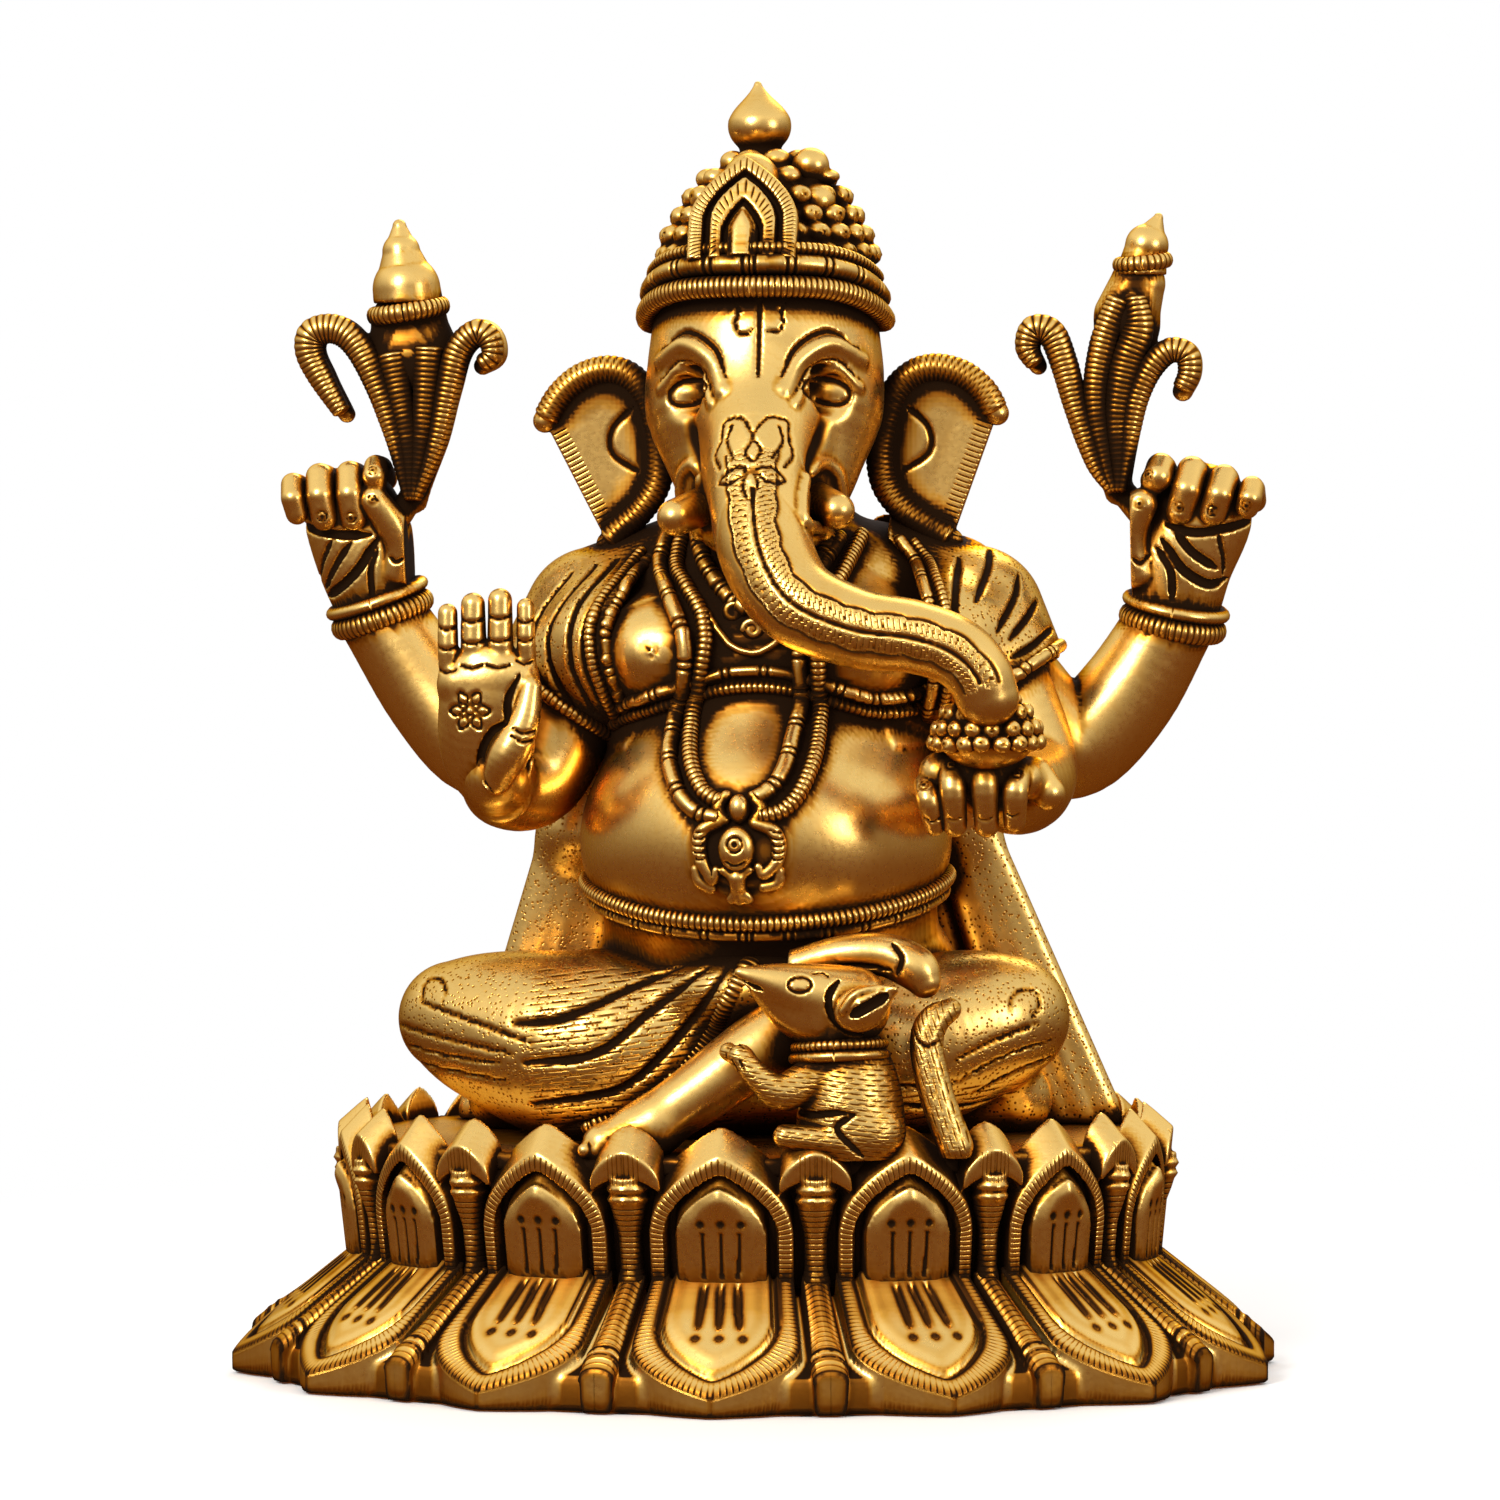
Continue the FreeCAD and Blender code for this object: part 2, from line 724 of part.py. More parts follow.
def sweets():
    """Heap of small round sweets in the cupped hand."""
    heap = ellipsoid("sweet_heap", "sweets", "sweet_heap_radius", "sweet_heap_radius * 0.83",
                     "sweet_heap_radius * 0.67")
    balls = []
    for number in range(6):
        angle = number * math.pi / 3
        balls.append(ellipsoid(f"sweet_{number}", "sweets", "sweet_radius", "sweet_radius", "sweet_radius",
                               dx=9 * math.cos(angle), dy=7 * math.sin(angle), dz=3))
    finish("sweets", fused("sweets_form", [heap] + balls))


def cape(side):
    """Shawl that covers the shoulder and the upper arm."""
    reach = "upper_arm_radius + cape_thickness"
    finish(f"{side}_cape", ellipsoid(f"{side}_cape_form", f"{side}_front_shoulder", reach,
                                     f"{reach} + 2", f"{reach} + 9", dy=5, dz="-cape_drop"))


def back_drape(side, lean):
    """Flat end of the shawl hanging behind the hip down to the deck."""
    strap = document.addObject("Part::Box", f"{side}_drape_strap")
    bind(strap, Length="drape_width", Width="drape_thickness", Height="drape_length")
    turn = Rotation(Vector(0, 1, 0), lean)
    sideways = math.sin(math.radians(lean)) / 2
    put(strap, f"{side}_drape", turn, dx=f"-drape_width / 2 - drape_length * {sideways}",
        dz="-drape_length / 2")
    return strap


def surface_of_torso(across, height):
    """The front of the torso at an X and Z, as the foremost of its rounded masses."""
    front = 0.0
    for name, mass in (("belly", "belly"), ("chest", "chest"), ("hips", "hip")):
        centre = place(name)
        wide, deep, tall = (size(f"{mass}_half_{way}") for way in ("width", "depth", "height"))
        inside = 1 - ((across - centre.x) / wide) ** 2 - ((height - centre.z) / tall) ** 2
        if inside > 0:
            front = min(front, centre.y - deep * math.sqrt(inside))
    return Vector(across, front, height)


def draped_strand(label, half_width, bottom):
    """U-shaped strand on the front of the torso, hanging from the neck."""
    middle, top = size("pendant_x"), size("strand_top")
    high, low = surface_of_torso(middle, top).y, surface_of_torso(middle, bottom).y
    steps = 8
    stations = []
    for number in range(steps + 1):
        angle = math.pi * (number / steps - 0.5)
        drop = max(math.cos(angle), 0) ** 0.6
        across = middle + half_width * math.sin(angle)
        out = high + (low - high) * drop ** 2 - 0.4 * size("strand_radius")
        stations.append((Vector(across, out, top - (top - bottom) * drop), "strand_radius"))
    finish(label, limb(f"{label}_form", stations))


def short_necklace():
    turn = Rotation(Vector(1, 0, 0), 30)
    finish("short_necklace", torus("short_necklace_form", "neck_low", "neck_radius * 1.25",
                                   "strand_radius", turn, dy=-4, dz=1))


def waist_band(label, around, mass, drop, tilt, wide="band_width"):
    """Band around one of the torso's masses: a slab of a slightly larger ellipsoid."""
    shell = ellipsoid(f"{label}_shell", around, f"{mass}_half_width + band_thickness",
                      f"{mass}_half_depth + band_thickness", f"{mass}_half_height + band_thickness")
    slab = cylinder(f"{label}_slab", around, "skirt_half_depth", wide,
                    Rotation(Vector(1, 0, 0), tilt), dz=drop)
    finish(label, common(f"{label}_form", shell, slab))


def pendant():
    finish("pendant", ellipsoid("pendant_form", "pendant", "pendant_half_width",
                                "pendant_half_depth", "pendant_half_height"))


def hem(floor):
    """Ribbed border of the waist cloth, falling across the right thigh."""
    border = limb("dhoti_hem_form", [
        ("hem_top", "strand_radius"),
        ("hem_middle", "strand_radius * 1.3"),
        ("hem_low", "strand_radius * 1.3"),
    ])
    finish("dhoti_hem", cut("dhoti_hem_seat", border, floor))


# ---------------------------------------------------------------- crown


def turned(label, at, corners, turn=Rotation(), **offset):
    """Turned piece: a closed profile of (radius, height) corners revolved about its axis."""
    body = base_body(f"{label}_form")
    sketch = side_sketch(body, f"{label}_profile")
    closed_outline(sketch, corners)
    spin = body.newObject("PartDesign::Revolution", f"{label}_turning")
    spin.Profile = sketch
    spin.ReferenceAxis = (sketch, ["V_Axis"])
    spin.Angle = 360
    put(body, at, turn, **offset)
    return body


def crown_band(label, at, radius, tilt):
    """Ring around the brow with bevelled edges, raised at the front."""
    inner, height = radius - 8, size("band_height")
    corners = [(inner, 0), (radius - 1.5, 0), (radius, 1.5), (radius, height - 1.5),
               (radius - 1.5, height), (inner, height)]
    finish(label, turned(label, at, corners, Rotation(Vector(1, 0, 0), tilt)))


def crown_dome():
    dome = ellipsoid("dome_form", "dome", "dome_half_width", "dome_half_width * 0.95",
                     "dome_half_height")
    core = ellipsoid("dome_core", "dome", "dome_half_width - casting_wall",
                     "dome_half_width * 0.95 - casting_wall", "dome_half_height - casting_wall")
    finish("crown_dome", dome, core)


def crown_finial():
    radius, height = size("finial_radius"), size("finial_height")
    corners = [(0, 0), (radius * 0.55, 0), (radius * 0.8, 2), (radius, 6), (radius * 0.9, 9),
               (radius * 0.5, height * 0.75), (radius * 0.15, height), (0, height)]
    finish("crown_finial", turned("crown_finial", "finial", corners))


def crown_plaque():
    """Upright plate with a pointed arch, leaning back against the dome."""
    body = base_body("crown_plaque_form")
    sketch = side_sketch(body, "plaque_outline")
    half, height = size("plaque_half_width"), size("plaque_height")
    foot_left, foot_right, peak = Vector(-half, 0, 0), Vector(half, 0, 0), Vector(0, height, 0)
    sketch.addGeometry(Part.LineSegment(foot_left, foot_right))
    sketch.addGeometry(Part.Arc(foot_right, Vector(half * 0.85, height * 0.6, 0), peak))
    sketch.addGeometry(Part.Arc(peak, Vector(-half * 0.85, height * 0.6, 0), foot_left))
    pad = body.newObject("PartDesign::Pad", "plaque_pad")
    pad.Profile = sketch
    pad.Midplane = True
    bind(pad, Length="plaque_thickness")
    put(body, "plaque", Rotation(Vector(1, 0, 0), -12))
    finish("crown_plaque", body)


def crown_knobs():
    knobs = document.addObject("Part::Compound", "crown_knobs_form")
    knobs.Links = [
        ellipsoid(f"{name}_form", name, "knob_radius", "knob_radius", "knob_radius")
        for name in ("high_knob", "low_knob")
    ]
    finish("crown_knobs", knobs)


# ---------------------------------------------------------------- attributes


def leaf_bundle(side, turn):
    """Flat spray of leaves: a narrow stem below and two outer leaves that curl down."""
    stem, spread, height = size("leaf_stem_radius"), size("leaf_spread"), size("leaf_height")
    right_half = [
        (stem, -8), (stem * 1.3, height * 0.4), (spread * 0.7, height * 0.74),
        (spread, height * 0.6), (spread * 0.95, height * 0.84), (stem * 1.5, height),
    ]
    left_half = [(-across, up) for across, up in reversed(right_half)]
    body = base_body(f"{side}_leaves_form")
    sketch = side_sketch(body, f"{side}_leaves_outline")
    closed_outline(sketch, right_half + left_half)
    pad = body.newObject("PartDesign::Pad", f"{side}_leaves_pad")
    pad.Profile = sketch
    pad.Midplane = True
    bind(pad, Length="leaf_thickness")
    return put(body, f"{side}_leaves", turn)


def attribute(side, lean):
    """Leaf bundle that flares upwards from the fist, with a ribbed collar and a cone."""
    turn = Rotation(Vector(0, 1, 0), lean)
    finish(f"{side}_leaf_bundle", leaf_bundle(side, turn))
    radius = size("collar_radius")
    profile = [(0, -3.5), (radius * 0.8, -3.5), (radius, -1), (radius, 1.5), (radius * 0.8, 3.5), (0, 3.5)]
    finish(f"{side}_leaf_collar", turned(f"{side}_collar", f"{side}_collar", profile, turn))
    base, tip = size("cone_radius"), size("cone_height")
    profile = [(0, 3.5), (base * 0.8, 3.5), (base, 6), (base * 0.55, tip * 0.6), (1.5, tip), (0, tip)]
    finish(f"{side}_cone_tip", turned(f"{side}_cone", f"{side}_collar", profile, turn))


# ---------------------------------------------------------------- mouse


def mouse(floor):
    """Sitting mouse with raised paws, a collar, a pricked ear and an upright tail."""
    round_body = ellipsoid("mouse_trunk", "mouse_body", "mouse_radius", "mouse_radius * 0.85",
                           "mouse_radius * 1.15")
    foreleg = limb("mouse_foreleg", [
        ("mouse_elbow", "mouse_elbow_radius"),
        ("mouse_paw", "mouse_paw_radius"),
    ])
    finish("mouse_body", cut("mouse_seat", fused("mouse_form", [round_body, foreleg]), floor))
    stations = [(f"mouse_{name}", f"mouse_{name}_radius") for name in ("nape", "cheek", "snout")]
    finish("mouse_head", limb("mouse_head_form", stations))
    finish("mouse_ear", ellipsoid("mouse_ear_form", "mouse_ear", "mouse_ear_half_width",
                                  "mouse_ear_half_depth", "mouse_ear_half_height",
                                  Rotation(Vector(0, 1, 0), -20)))
    finish("mouse_collar", torus("mouse_collar_form", "mouse_neck", "mouse_collar_radius", 2.6))
    tail = limb("mouse_tail_form", [("tail_top", "tail_radius"), ("tail_foot", "tail_radius")])
    finish("mouse_tail", cut("mouse_tail_seat", tail, floor))


# ---------------------------------------------------------------- assembly


def group_of(label, group):
    group.Label = label
    subparts.append(group)
    return group


def build():
    fill_sheet()
    lotus_skirt()
    lotus_cup()
    group_of("figure_bolts", on_bolt_axes(one_bolt))
    group_of("figure_washers", on_bolt_axes(one_washer))
    floor = below_deck()
    torso(floor)
    for strand in ("outer", "inner"):
        half_width, bottom = size(f"{strand}_strand_half_width"), size(f"{strand}_strand_bottom")
        draped_strand(f"long_necklace_{strand}", half_width, bottom)
    pendant()
    short_necklace()
    head()
    trunk()
    for side in ("right", "left"):
        tusk(side)
    ear("right", -1)
    ear("left", 1)
    crown_band("crown_lower_band", "crown_low", size("crown_radius"), -14)
    crown_band("crown_upper_band", "crown_high", size("crown_radius") - 1.5, -14)
    crown_dome()
    crown_plaque()
    crown_finial()
    crown_knobs()
    for side in ("right", "left"):
        thigh(side, floor)
    shin(floor)
    for side, front, rear in (("right", "blessing_arm", "right_raised_arm"),
                              ("left", "sweet_arm", "left_raised_arm")):
        arm(front, f"{side}_front_shoulder", f"{side}_front_elbow", f"{side}_front_wrist")
        arm(rear, f"{side}_rear_shoulder", f"{side}_rear_elbow", f"{side}_rear_wrist")
        fist(side)
        bracelet(side)
    blessing_hand()
    sweet_hand()
    sweets()
    waist_band("upper_belt", "belly", "belly", -14, 9)
    waist_band("lower_belt", "belly", "belly", -19, 9)
    waist_band("upper_chest_band", "chest", "chest", -7, 0, "chest_band_width")
    waist_band("lower_chest_band", "chest", "chest", -11, 0, "chest_band_width")
    for side in ("right", "left"):
        cape(side)
    for side, lean in (("right", 16), ("left", -20)):
        finish(f"{side}_back_drape", cut(f"{side}_drape_seat", back_drape(side, lean), floor))
    hem(floor)
    attribute("right", 1)
    attribute("left", 7)
    mouse(floor)
    finish("sash_end", limb("sash_end_form", [("sash_top", "sash_radius"), ("sash_end", "sash_radius")]))


def check_and_export():
    """Stops on any failed feature or shape, then writes one STEP file per sub-part."""
    document.recompute()
    for item in document.Objects:
        if {"Invalid", "Error"} & set(item.State):
            raise RuntimeError(f"{item.Label} failed: {item.State}")
    for part in subparts:
        if not is_sound(part):
            raise RuntimeError(f"{part.Label} has no valid solid")
    os.makedirs("parts", exist_ok=True)
    for part in subparts:
        part.Shape.exportStep(os.path.join("parts", f"{part.Label}.step"))
        print(f"{part.Label}: {len(part.Shape.Solids)} solids, {part.Shape.Volume / 1000:.1f} cm3")


build()
check_and_export()
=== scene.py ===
import math

import bpy
import numpy as np
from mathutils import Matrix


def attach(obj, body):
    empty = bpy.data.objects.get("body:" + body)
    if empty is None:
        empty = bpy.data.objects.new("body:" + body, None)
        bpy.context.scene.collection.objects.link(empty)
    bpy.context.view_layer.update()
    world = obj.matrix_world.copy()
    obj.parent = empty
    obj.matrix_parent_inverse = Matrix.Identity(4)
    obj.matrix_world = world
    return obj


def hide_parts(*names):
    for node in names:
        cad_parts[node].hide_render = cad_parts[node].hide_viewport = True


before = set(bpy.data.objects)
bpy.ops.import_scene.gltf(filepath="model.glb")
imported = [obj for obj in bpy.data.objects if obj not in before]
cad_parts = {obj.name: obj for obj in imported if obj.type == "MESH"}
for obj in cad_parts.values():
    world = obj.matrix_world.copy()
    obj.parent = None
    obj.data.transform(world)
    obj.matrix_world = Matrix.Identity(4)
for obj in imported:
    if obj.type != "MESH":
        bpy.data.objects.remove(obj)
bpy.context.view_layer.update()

import openvdb
from mathutils import Matrix, Vector

# Brass Ganesha on a double lotus base. Lengths in this script are millimetres in the CAD's frame:
# +Z up, the figure faces -Y, its own right hand is on the -X side. Meshes are written in metres.

MM = 0.001


# ---------------------------------------------------------------- clay: voxel modelling


def smooth_min(a, b, blend):
    """The smaller of two distances, rounded where they are nearly equal."""
    if blend <= 0:
        return np.minimum(a, b)
    reach = np.maximum(blend - np.abs(a - b), 0)
    return np.minimum(a, b) - reach * reach / (4 * blend)


def turned(degrees_x=0, degrees_y=0, degrees_z=0):
    """Rotation matrix that turns about X, then Y, then Z."""
    turn = Matrix.Rotation(math.radians(degrees_z), 3, "Z")
    turn = turn @ Matrix.Rotation(math.radians(degrees_y), 3, "Y")
    turn = turn @ Matrix.Rotation(math.radians(degrees_x), 3, "X")
    return np.array(turn)


def curve(points, steps=8):
    """Catmull-Rom curve through rows of numbers, which may hold radii as well as places."""
    rows = np.array(points, float)
    rows = np.vstack([2 * rows[0] - rows[1], rows, 2 * rows[-1] - rows[-2]])
    out = []
    for a, b, c, d in zip(rows, rows[1:], rows[2:], rows[3:]):
        for t in np.linspace(0, 1, steps, endpoint=False):
            out.append(0.5 * (2 * b + (c - a) * t + (2 * a - 5 * b + 4 * c - d) * t ** 2
                              + (3 * b - a - 3 * c + d) * t ** 3))
    out.append(rows[-2])
    return np.array(out)


def resample(points, spacing):
    """The same path with evenly spaced points."""
    points = np.asarray(points, float)
    lengths = np.r_[0, np.cumsum(np.linalg.norm(np.diff(points[:, :3], axis=0), axis=1))]
    count = max(int(round(lengths[-1] / spacing)), 2)
    at = np.linspace(0, lengths[-1], count + 1)
    return np.column_stack([np.interp(at, lengths, points[:, i]) for i in range(points.shape[1])])


def spread(values, count):
    """Values spread evenly over a number of places, with straight lines between them."""
    return np.interp(np.linspace(0, 1, count), np.linspace(0, 1, len(values)), values)


class Clay:
    """Signed distances on a regular grid: shapes are added to it and cut from it."""

    FAR = 5.0

    def __init__(self, low, high, step):
        self.low = np.array(low, float)
        self.step = step
        counts = np.ceil((np.array(high, float) - self.low) / step).astype(int) + 1
        self.d = np.full(counts, self.FAR, np.float32)
        self.whole = self.d.copy()
        self.dots = []
        self.engraving = False

    def window(self, low, high):
        """The part of the grid between two corners, and its coordinates."""
        start = np.clip(np.floor((np.asarray(low) - self.low) / self.step).astype(int), 0, self.d.shape)
        stop = np.clip(np.ceil((np.asarray(high) - self.low) / self.step).astype(int) + 1, 0, self.d.shape)
        axes = [
            (self.low[i] + self.step * np.arange(start[i], stop[i])).astype(np.float32) for i in range(3)
        ]
        part = tuple(slice(start[i], stop[i]) for i in range(3))
        return part, (axes[0][:, None, None], axes[1][None, :, None], axes[2][None, None, :])

    def merge(self, part, block, blend, cut):
        """Adds or cuts a block of distances; engraving leaves the uncut twin as it was."""
        for grid in (self.d,) if self.engraving else (self.d, self.whole):
            if cut:
                grid[part] = -smooth_min(-grid[part], block, blend)
            else:
                grid[part] = smooth_min(grid[part], block, blend)

    def ball(self, centre, radii, turn=None, blend=0.0, cut=False):
        """Ellipsoid by its half-axes, which turn may rotate."""
        radii = np.broadcast_to(np.array(radii, float), 3)
        reach = radii.max() + blend + 2 * self.step + 1.5
        part, (x, y, z) = self.window(np.array(centre) - reach, np.array(centre) + reach)
        x, y, z = x - centre[0], y - centre[1], z - centre[2]
        if turn is not None:
            x, y, z = (turn[0][i] * x + turn[1][i] * y + turn[2][i] * z for i in range(3))
        inner = np.sqrt((x / radii[0]) ** 2 + (y / radii[1]) ** 2 + (z / radii[2]) ** 2)
        slope = np.sqrt((x / radii[0] ** 2) ** 2 + (y / radii[1] ** 2) ** 2 + (z / radii[2] ** 2) ** 2)
        self.merge(part, inner * (inner - 1) / np.maximum(slope, 1e-4), blend, cut)
        return self

    def rod(self, points, blend=0.0, cut=False, flat=None):
        """Round rod through (x, y, z, radius) rows. flat=(axis, share) makes it thinner one way."""
        rows = np.array(points, float)
        reach = rows[:, 3].max() + blend + 2 * self.step + 1.0
        part, _ = self.window(rows[:, :3].min(0) - reach, rows[:, :3].max(0) + reach)
        whole = np.full(self.d[part].shape, self.FAR + 3, np.float32)
        for a, b in zip(rows, rows[1:]):
            inner, (x, y, z) = self.window(np.minimum(a, b)[:3] - reach, np.maximum(a, b)[:3] + reach)
            local = tuple(slice(i.start - p.start, i.stop - p.start) for i, p in zip(inner, part))
            along = b[:3] - a[:3]
            share = ((x - a[0]) * along[0] + (y - a[1]) * along[1] + (z - a[2]) * along[2])
            share = np.clip(share / max(along @ along, 1e-9), 0, 1)
            away = [x - a[0] - share * along[0], y - a[1] - share * along[1], z - a[2] - share * along[2]]
            scale = 1.0
            if flat:
                axis, scale = np.array(flat[0], float), flat[1]
                depth = sum(part_away * n for part_away, n in zip(away, axis))
                away = [part_away + (1 / scale - 1) * depth * n for part_away, n in zip(away, axis)]
            gap = np.sqrt(away[0] ** 2 + away[1] ** 2 + away[2] ** 2) - a[3] - share * (b[3] - a[3])
            whole[local] = np.minimum(whole[local], gap * scale)
        self.merge(part, whole, blend, cut)
        return self

    def shape(self, formula, blend=0.0, cut=False):
        """Any shape given as a signed distance formula of x, y and z."""
        part, (x, y, z) = self.window(self.low, self.low + self.step * np.array(self.d.shape))
        block = np.broadcast_to(formula(x, y, z), self.d.shape).astype(np.float32)
        self.merge(part, block, blend, cut)
        return self

    def trim_below(self, height):
        """Cuts off everything below a height."""
        return self.shape(lambda x, y, z: z - height, cut=True)

    def sample(self, points, grid=None):
        """The distance at points, by trilinear interpolation."""
        grid = self.d if grid is None else grid
        at = (np.asarray(points, float)[:, :3] - self.low) / self.step
        at = np.clip(at, 0, np.array(self.d.shape) - 1.001)
        cell = at.astype(int)
        f = at - cell
        total = 0.0
        for corner in np.ndindex(2, 2, 2):
            weight = np.prod(np.where(np.array(corner), f, 1 - f), axis=1)
            total = total + weight * grid[tuple((cell + corner).T)]
        return total

    def outward(self, points):
        """Unit directions away from the clay."""
        points = np.asarray(points, float)[:, :3]
        slope = np.column_stack([
            self.sample(points + np.eye(3)[i] * self.step) - self.sample(points - np.eye(3)[i] * self.step)
            for i in range(3)
        ])
        return slope / np.maximum(np.linalg.norm(slope, axis=1, keepdims=True), 1e-6)

    def snap(self, points, lift=0.0):
        """Moves points onto the surface, or to a height above it."""
        points = np.array(points, float)[:, :3]
        for _ in range(6):
            gap = np.clip(self.sample(points) - lift, -2, 2)
            points = points - self.outward(points) * gap[:, None]
        return points

    def front(self, across, up):
        """Where lines of sight along Y first meet the clay from the front."""
        across, up = np.broadcast_arrays(np.asarray(across, float), np.asarray(up, float))
        steps = self.low[1] + self.step * np.arange(self.d.shape[1])
        out = []
        for x, z in zip(across.ravel(), up.ravel()):
            line = self.sample(np.column_stack([np.full_like(steps, x), steps, np.full_like(steps, z)]))
            inside = np.nonzero(line < 0)[0]
            out.append((x, steps[inside[0]] if len(inside) else steps[len(steps) // 2], z))
        return self.snap(np.array(out))

    def along(self, marks, smooth=10):
        """A curve through (x, z) marks, laid on the front of the clay."""
        flat = curve(marks, smooth)
        return self.front(flat[:, 0], flat[:, 1])

    def groove(self, path, width=0.9, depth=None, ends=0.4, blend=0.0):
        """Engraves a line on the surface, narrowing towards its ends."""
        path = resample(self.snap(path), self.step)
        share = np.linspace(0, 1, len(path))
        taper = np.minimum(1, np.minimum(share, 1 - share) * 6 * (1 - ends) + ends)
        radius = width / 2 * taper
        lift = (width / 2 - (depth if depth is not None else width / 2)) * self.outward(path)
        self.engraving = True
        self.rod(np.column_stack([path + lift, radius]), blend, cut=True)
        self.engraving = False
        return self

    def ridge(self, path, radius, sink=0.0, blend=0.6):
        """Raises a rounded cord on the surface."""
        path = resample(self.snap(path, -sink), self.step)
        return self.rod(np.column_stack([path, np.full(len(path), radius)]), blend)

    def engrave(self, marks, width, depth, smooth=10, **more):
        """Engraves a line through (x, z) marks on the front."""
        return self.groove(self.along(marks, smooth), width, depth, **more)

    def emboss(self, marks, radius, **more):
        """Raises a cord through (x, z) marks on the front."""
        return self.ridge(self.along(marks), radius, **more)

    def engrave_oval(self, centre, halves, count, width, depth, skew=0.0):
        """Engraves an oval round an (x, z) centre on the front; skew lowers its +X side."""
        angle = np.radians(np.linspace(0, 360, count))
        across = centre[0] + halves[0] * np.cos(angle)
        up = centre[1] + halves[1] * np.sin(angle) - skew * halves[0] * np.cos(angle)
        return self.groove(self.front(across, up), width, depth, ends=1.0)

    def pit(self, place, radius=0.8):
        """A round punch mark."""
        spot = self.snap([place])[0]
        self.engraving = True
        self.ball(spot, (radius,) * 3, cut=True)
        self.engraving = False
        self.dots.append((spot, radius))
        return self

    def ring_dot(self, place, radius, width=0.7):
        """An engraved circle with a dot in its middle."""
        spot = self.snap([place])[0]
        out = self.outward([spot])[0]
        side = np.cross(out, (0, 0, 1.0))
        side = side / np.linalg.norm(side)
        up = np.cross(side, out)
        angles = np.linspace(0, 2 * math.pi, 25)
        circle = spot + radius * (np.outer(np.cos(angles), side) + np.outer(np.sin(angles), up))
        self.groove(circle, width, ends=1.0)
        return self.pit(spot, width * 0.7)

    def mesh(self):
        """Vertices in millimetres and quads of the surface."""
        grid = openvdb.FloatGrid(self.FAR)
        grid.copyFromArray(np.ascontiguousarray(self.d))
        points, quads = grid.convertToQuads(isovalue=0.0)
        return points * self.step + self.low, quads.astype(int)

    # Engraved lines and punch marks are darkened from this: patina in them and painted shade.
    def recess_patina_and_shade(self, points):
        """How deep points lie in engraved lines, from 0 to 1."""
        recess_dark = np.clip(-self.sample(points, self.whole) / 0.8, 0, 1)
        for spot, radius in self.dots:
            recess_dark = np.maximum(recess_dark, np.exp(-(((points - spot) ** 2).sum(1) / (1.5 * radius) ** 2) ** 2))
        return recess_dark


# ---------------------------------------------------------------- pieces


def add_piece(name, points, quads, material, replaces=None):
    """Makes a smooth-shaded object from millimetre points. It stands for the CAD nodes named, or
    for the node of its own name if there is one."""
    if replaces is None:
        replaces = (name,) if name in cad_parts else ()
    mesh = bpy.data.meshes.new(name)
    mesh.vertices.add(len(points))
    mesh.vertices.foreach_set("co", (np.asarray(points, np.float32) * MM).ravel())
    mesh.loops.add(quads.size)
    mesh.loops.foreach_set("vertex_index", quads.astype(np.int32).ravel())
    mesh.polygons.add(len(quads))
    mesh.polygons.foreach_set("loop_start", np.arange(0, quads.size, quads.shape[1], dtype=np.int32))
    mesh.update(calc_edges=True)
    mesh.validate()
    mesh.shade_smooth()
    mesh.materials.append(MATERIALS[material])
    piece = bpy.data.objects.new(name, mesh)
    bpy.context.scene.collection.objects.link(piece)
    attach(piece, "root")
    if replaces:
        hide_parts(*replaces)
    brass_pieces.append(piece)
    return piece


def add_clay(name, clay, material="polished", replaces=None):
    """A piece from a clay, with its engraved lines marked for the patina and painted shade."""
    points, quads = clay.mesh()
    piece = add_piece(name, points, quads, material, replaces)
    store(piece, "recess_patina_and_shade", clay.recess_patina_and_shade(points))
    return piece


brass_pieces = []


# ---------------------------------------------------------------- brass


def link(tree, value, socket):
    """Sets a socket from another socket or from a plain value."""
    if isinstance(value, bpy.types.NodeSocket):
        tree.links.new(value, socket)
    else:
        socket.default_value = value


def arithmetic(tree, operation, a, b=0.0, c=0.0, clamp=False):
    """One maths node."""
    node = tree.nodes.new("ShaderNodeMath")
    node.operation = operation
    node.use_clamp = clamp
    for value, socket in zip((a, b, c), node.inputs):
        link(tree, value, socket)
    return node.outputs[0]


def ramp(tree, factor, stops, smooth=True):
    """Colours, or greys for single numbers, along a factor."""
    node = tree.nodes.new("ShaderNodeValToRGB")
    node.color_ramp.interpolation = "EASE" if smooth else "LINEAR"
    marks = node.color_ramp.elements
    while len(marks) < len(stops):
        marks.new(0.5)
    for mark, (place, colour) in zip(marks, stops):
        mark.position = place
        rgb = (colour,) * 3 if isinstance(colour, (int, float)) else colour
        mark.color = (*rgb, 1.0)
    link(tree, factor, node.inputs[0])
    return node.outputs[0]


def noise(tree, scale, detail=3.0, stretch=(1, 1, 1)):
    """Noise in object space; scale is in features per metre."""
    place = tree.nodes.new("ShaderNodeTexCoord").outputs["Object"]
    mapping = tree.nodes.new("ShaderNodeMapping")
    mapping.inputs["Scale"].default_value = stretch
    tree.links.new(place, mapping.inputs["Vector"])
    node = tree.nodes.new("ShaderNodeTexNoise")
    node.inputs["Scale"].default_value = scale
    node.inputs["Detail"].default_value = detail
    tree.links.new(mapping.outputs[0], node.inputs["Vector"])
    return node.outputs["Fac"]


def attribute(tree, name):
    """A value stored on the mesh."""
    node = tree.nodes.new("ShaderNodeAttribute")
    node.attribute_name = name
    return node.outputs["Fac"]


def stipple(tree, scale):
    """Small round punch marks."""
    place = tree.nodes.new("ShaderNodeTexCoord").outputs["Object"]
    node = tree.nodes.new("ShaderNodeTexVoronoi")
    node.inputs["Scale"].default_value = scale
    tree.links.new(place, node.inputs["Vector"])
    return arithmetic(tree, "MULTIPLY_ADD", node.outputs["Distance"], -7.0, 2.3, clamp=True)


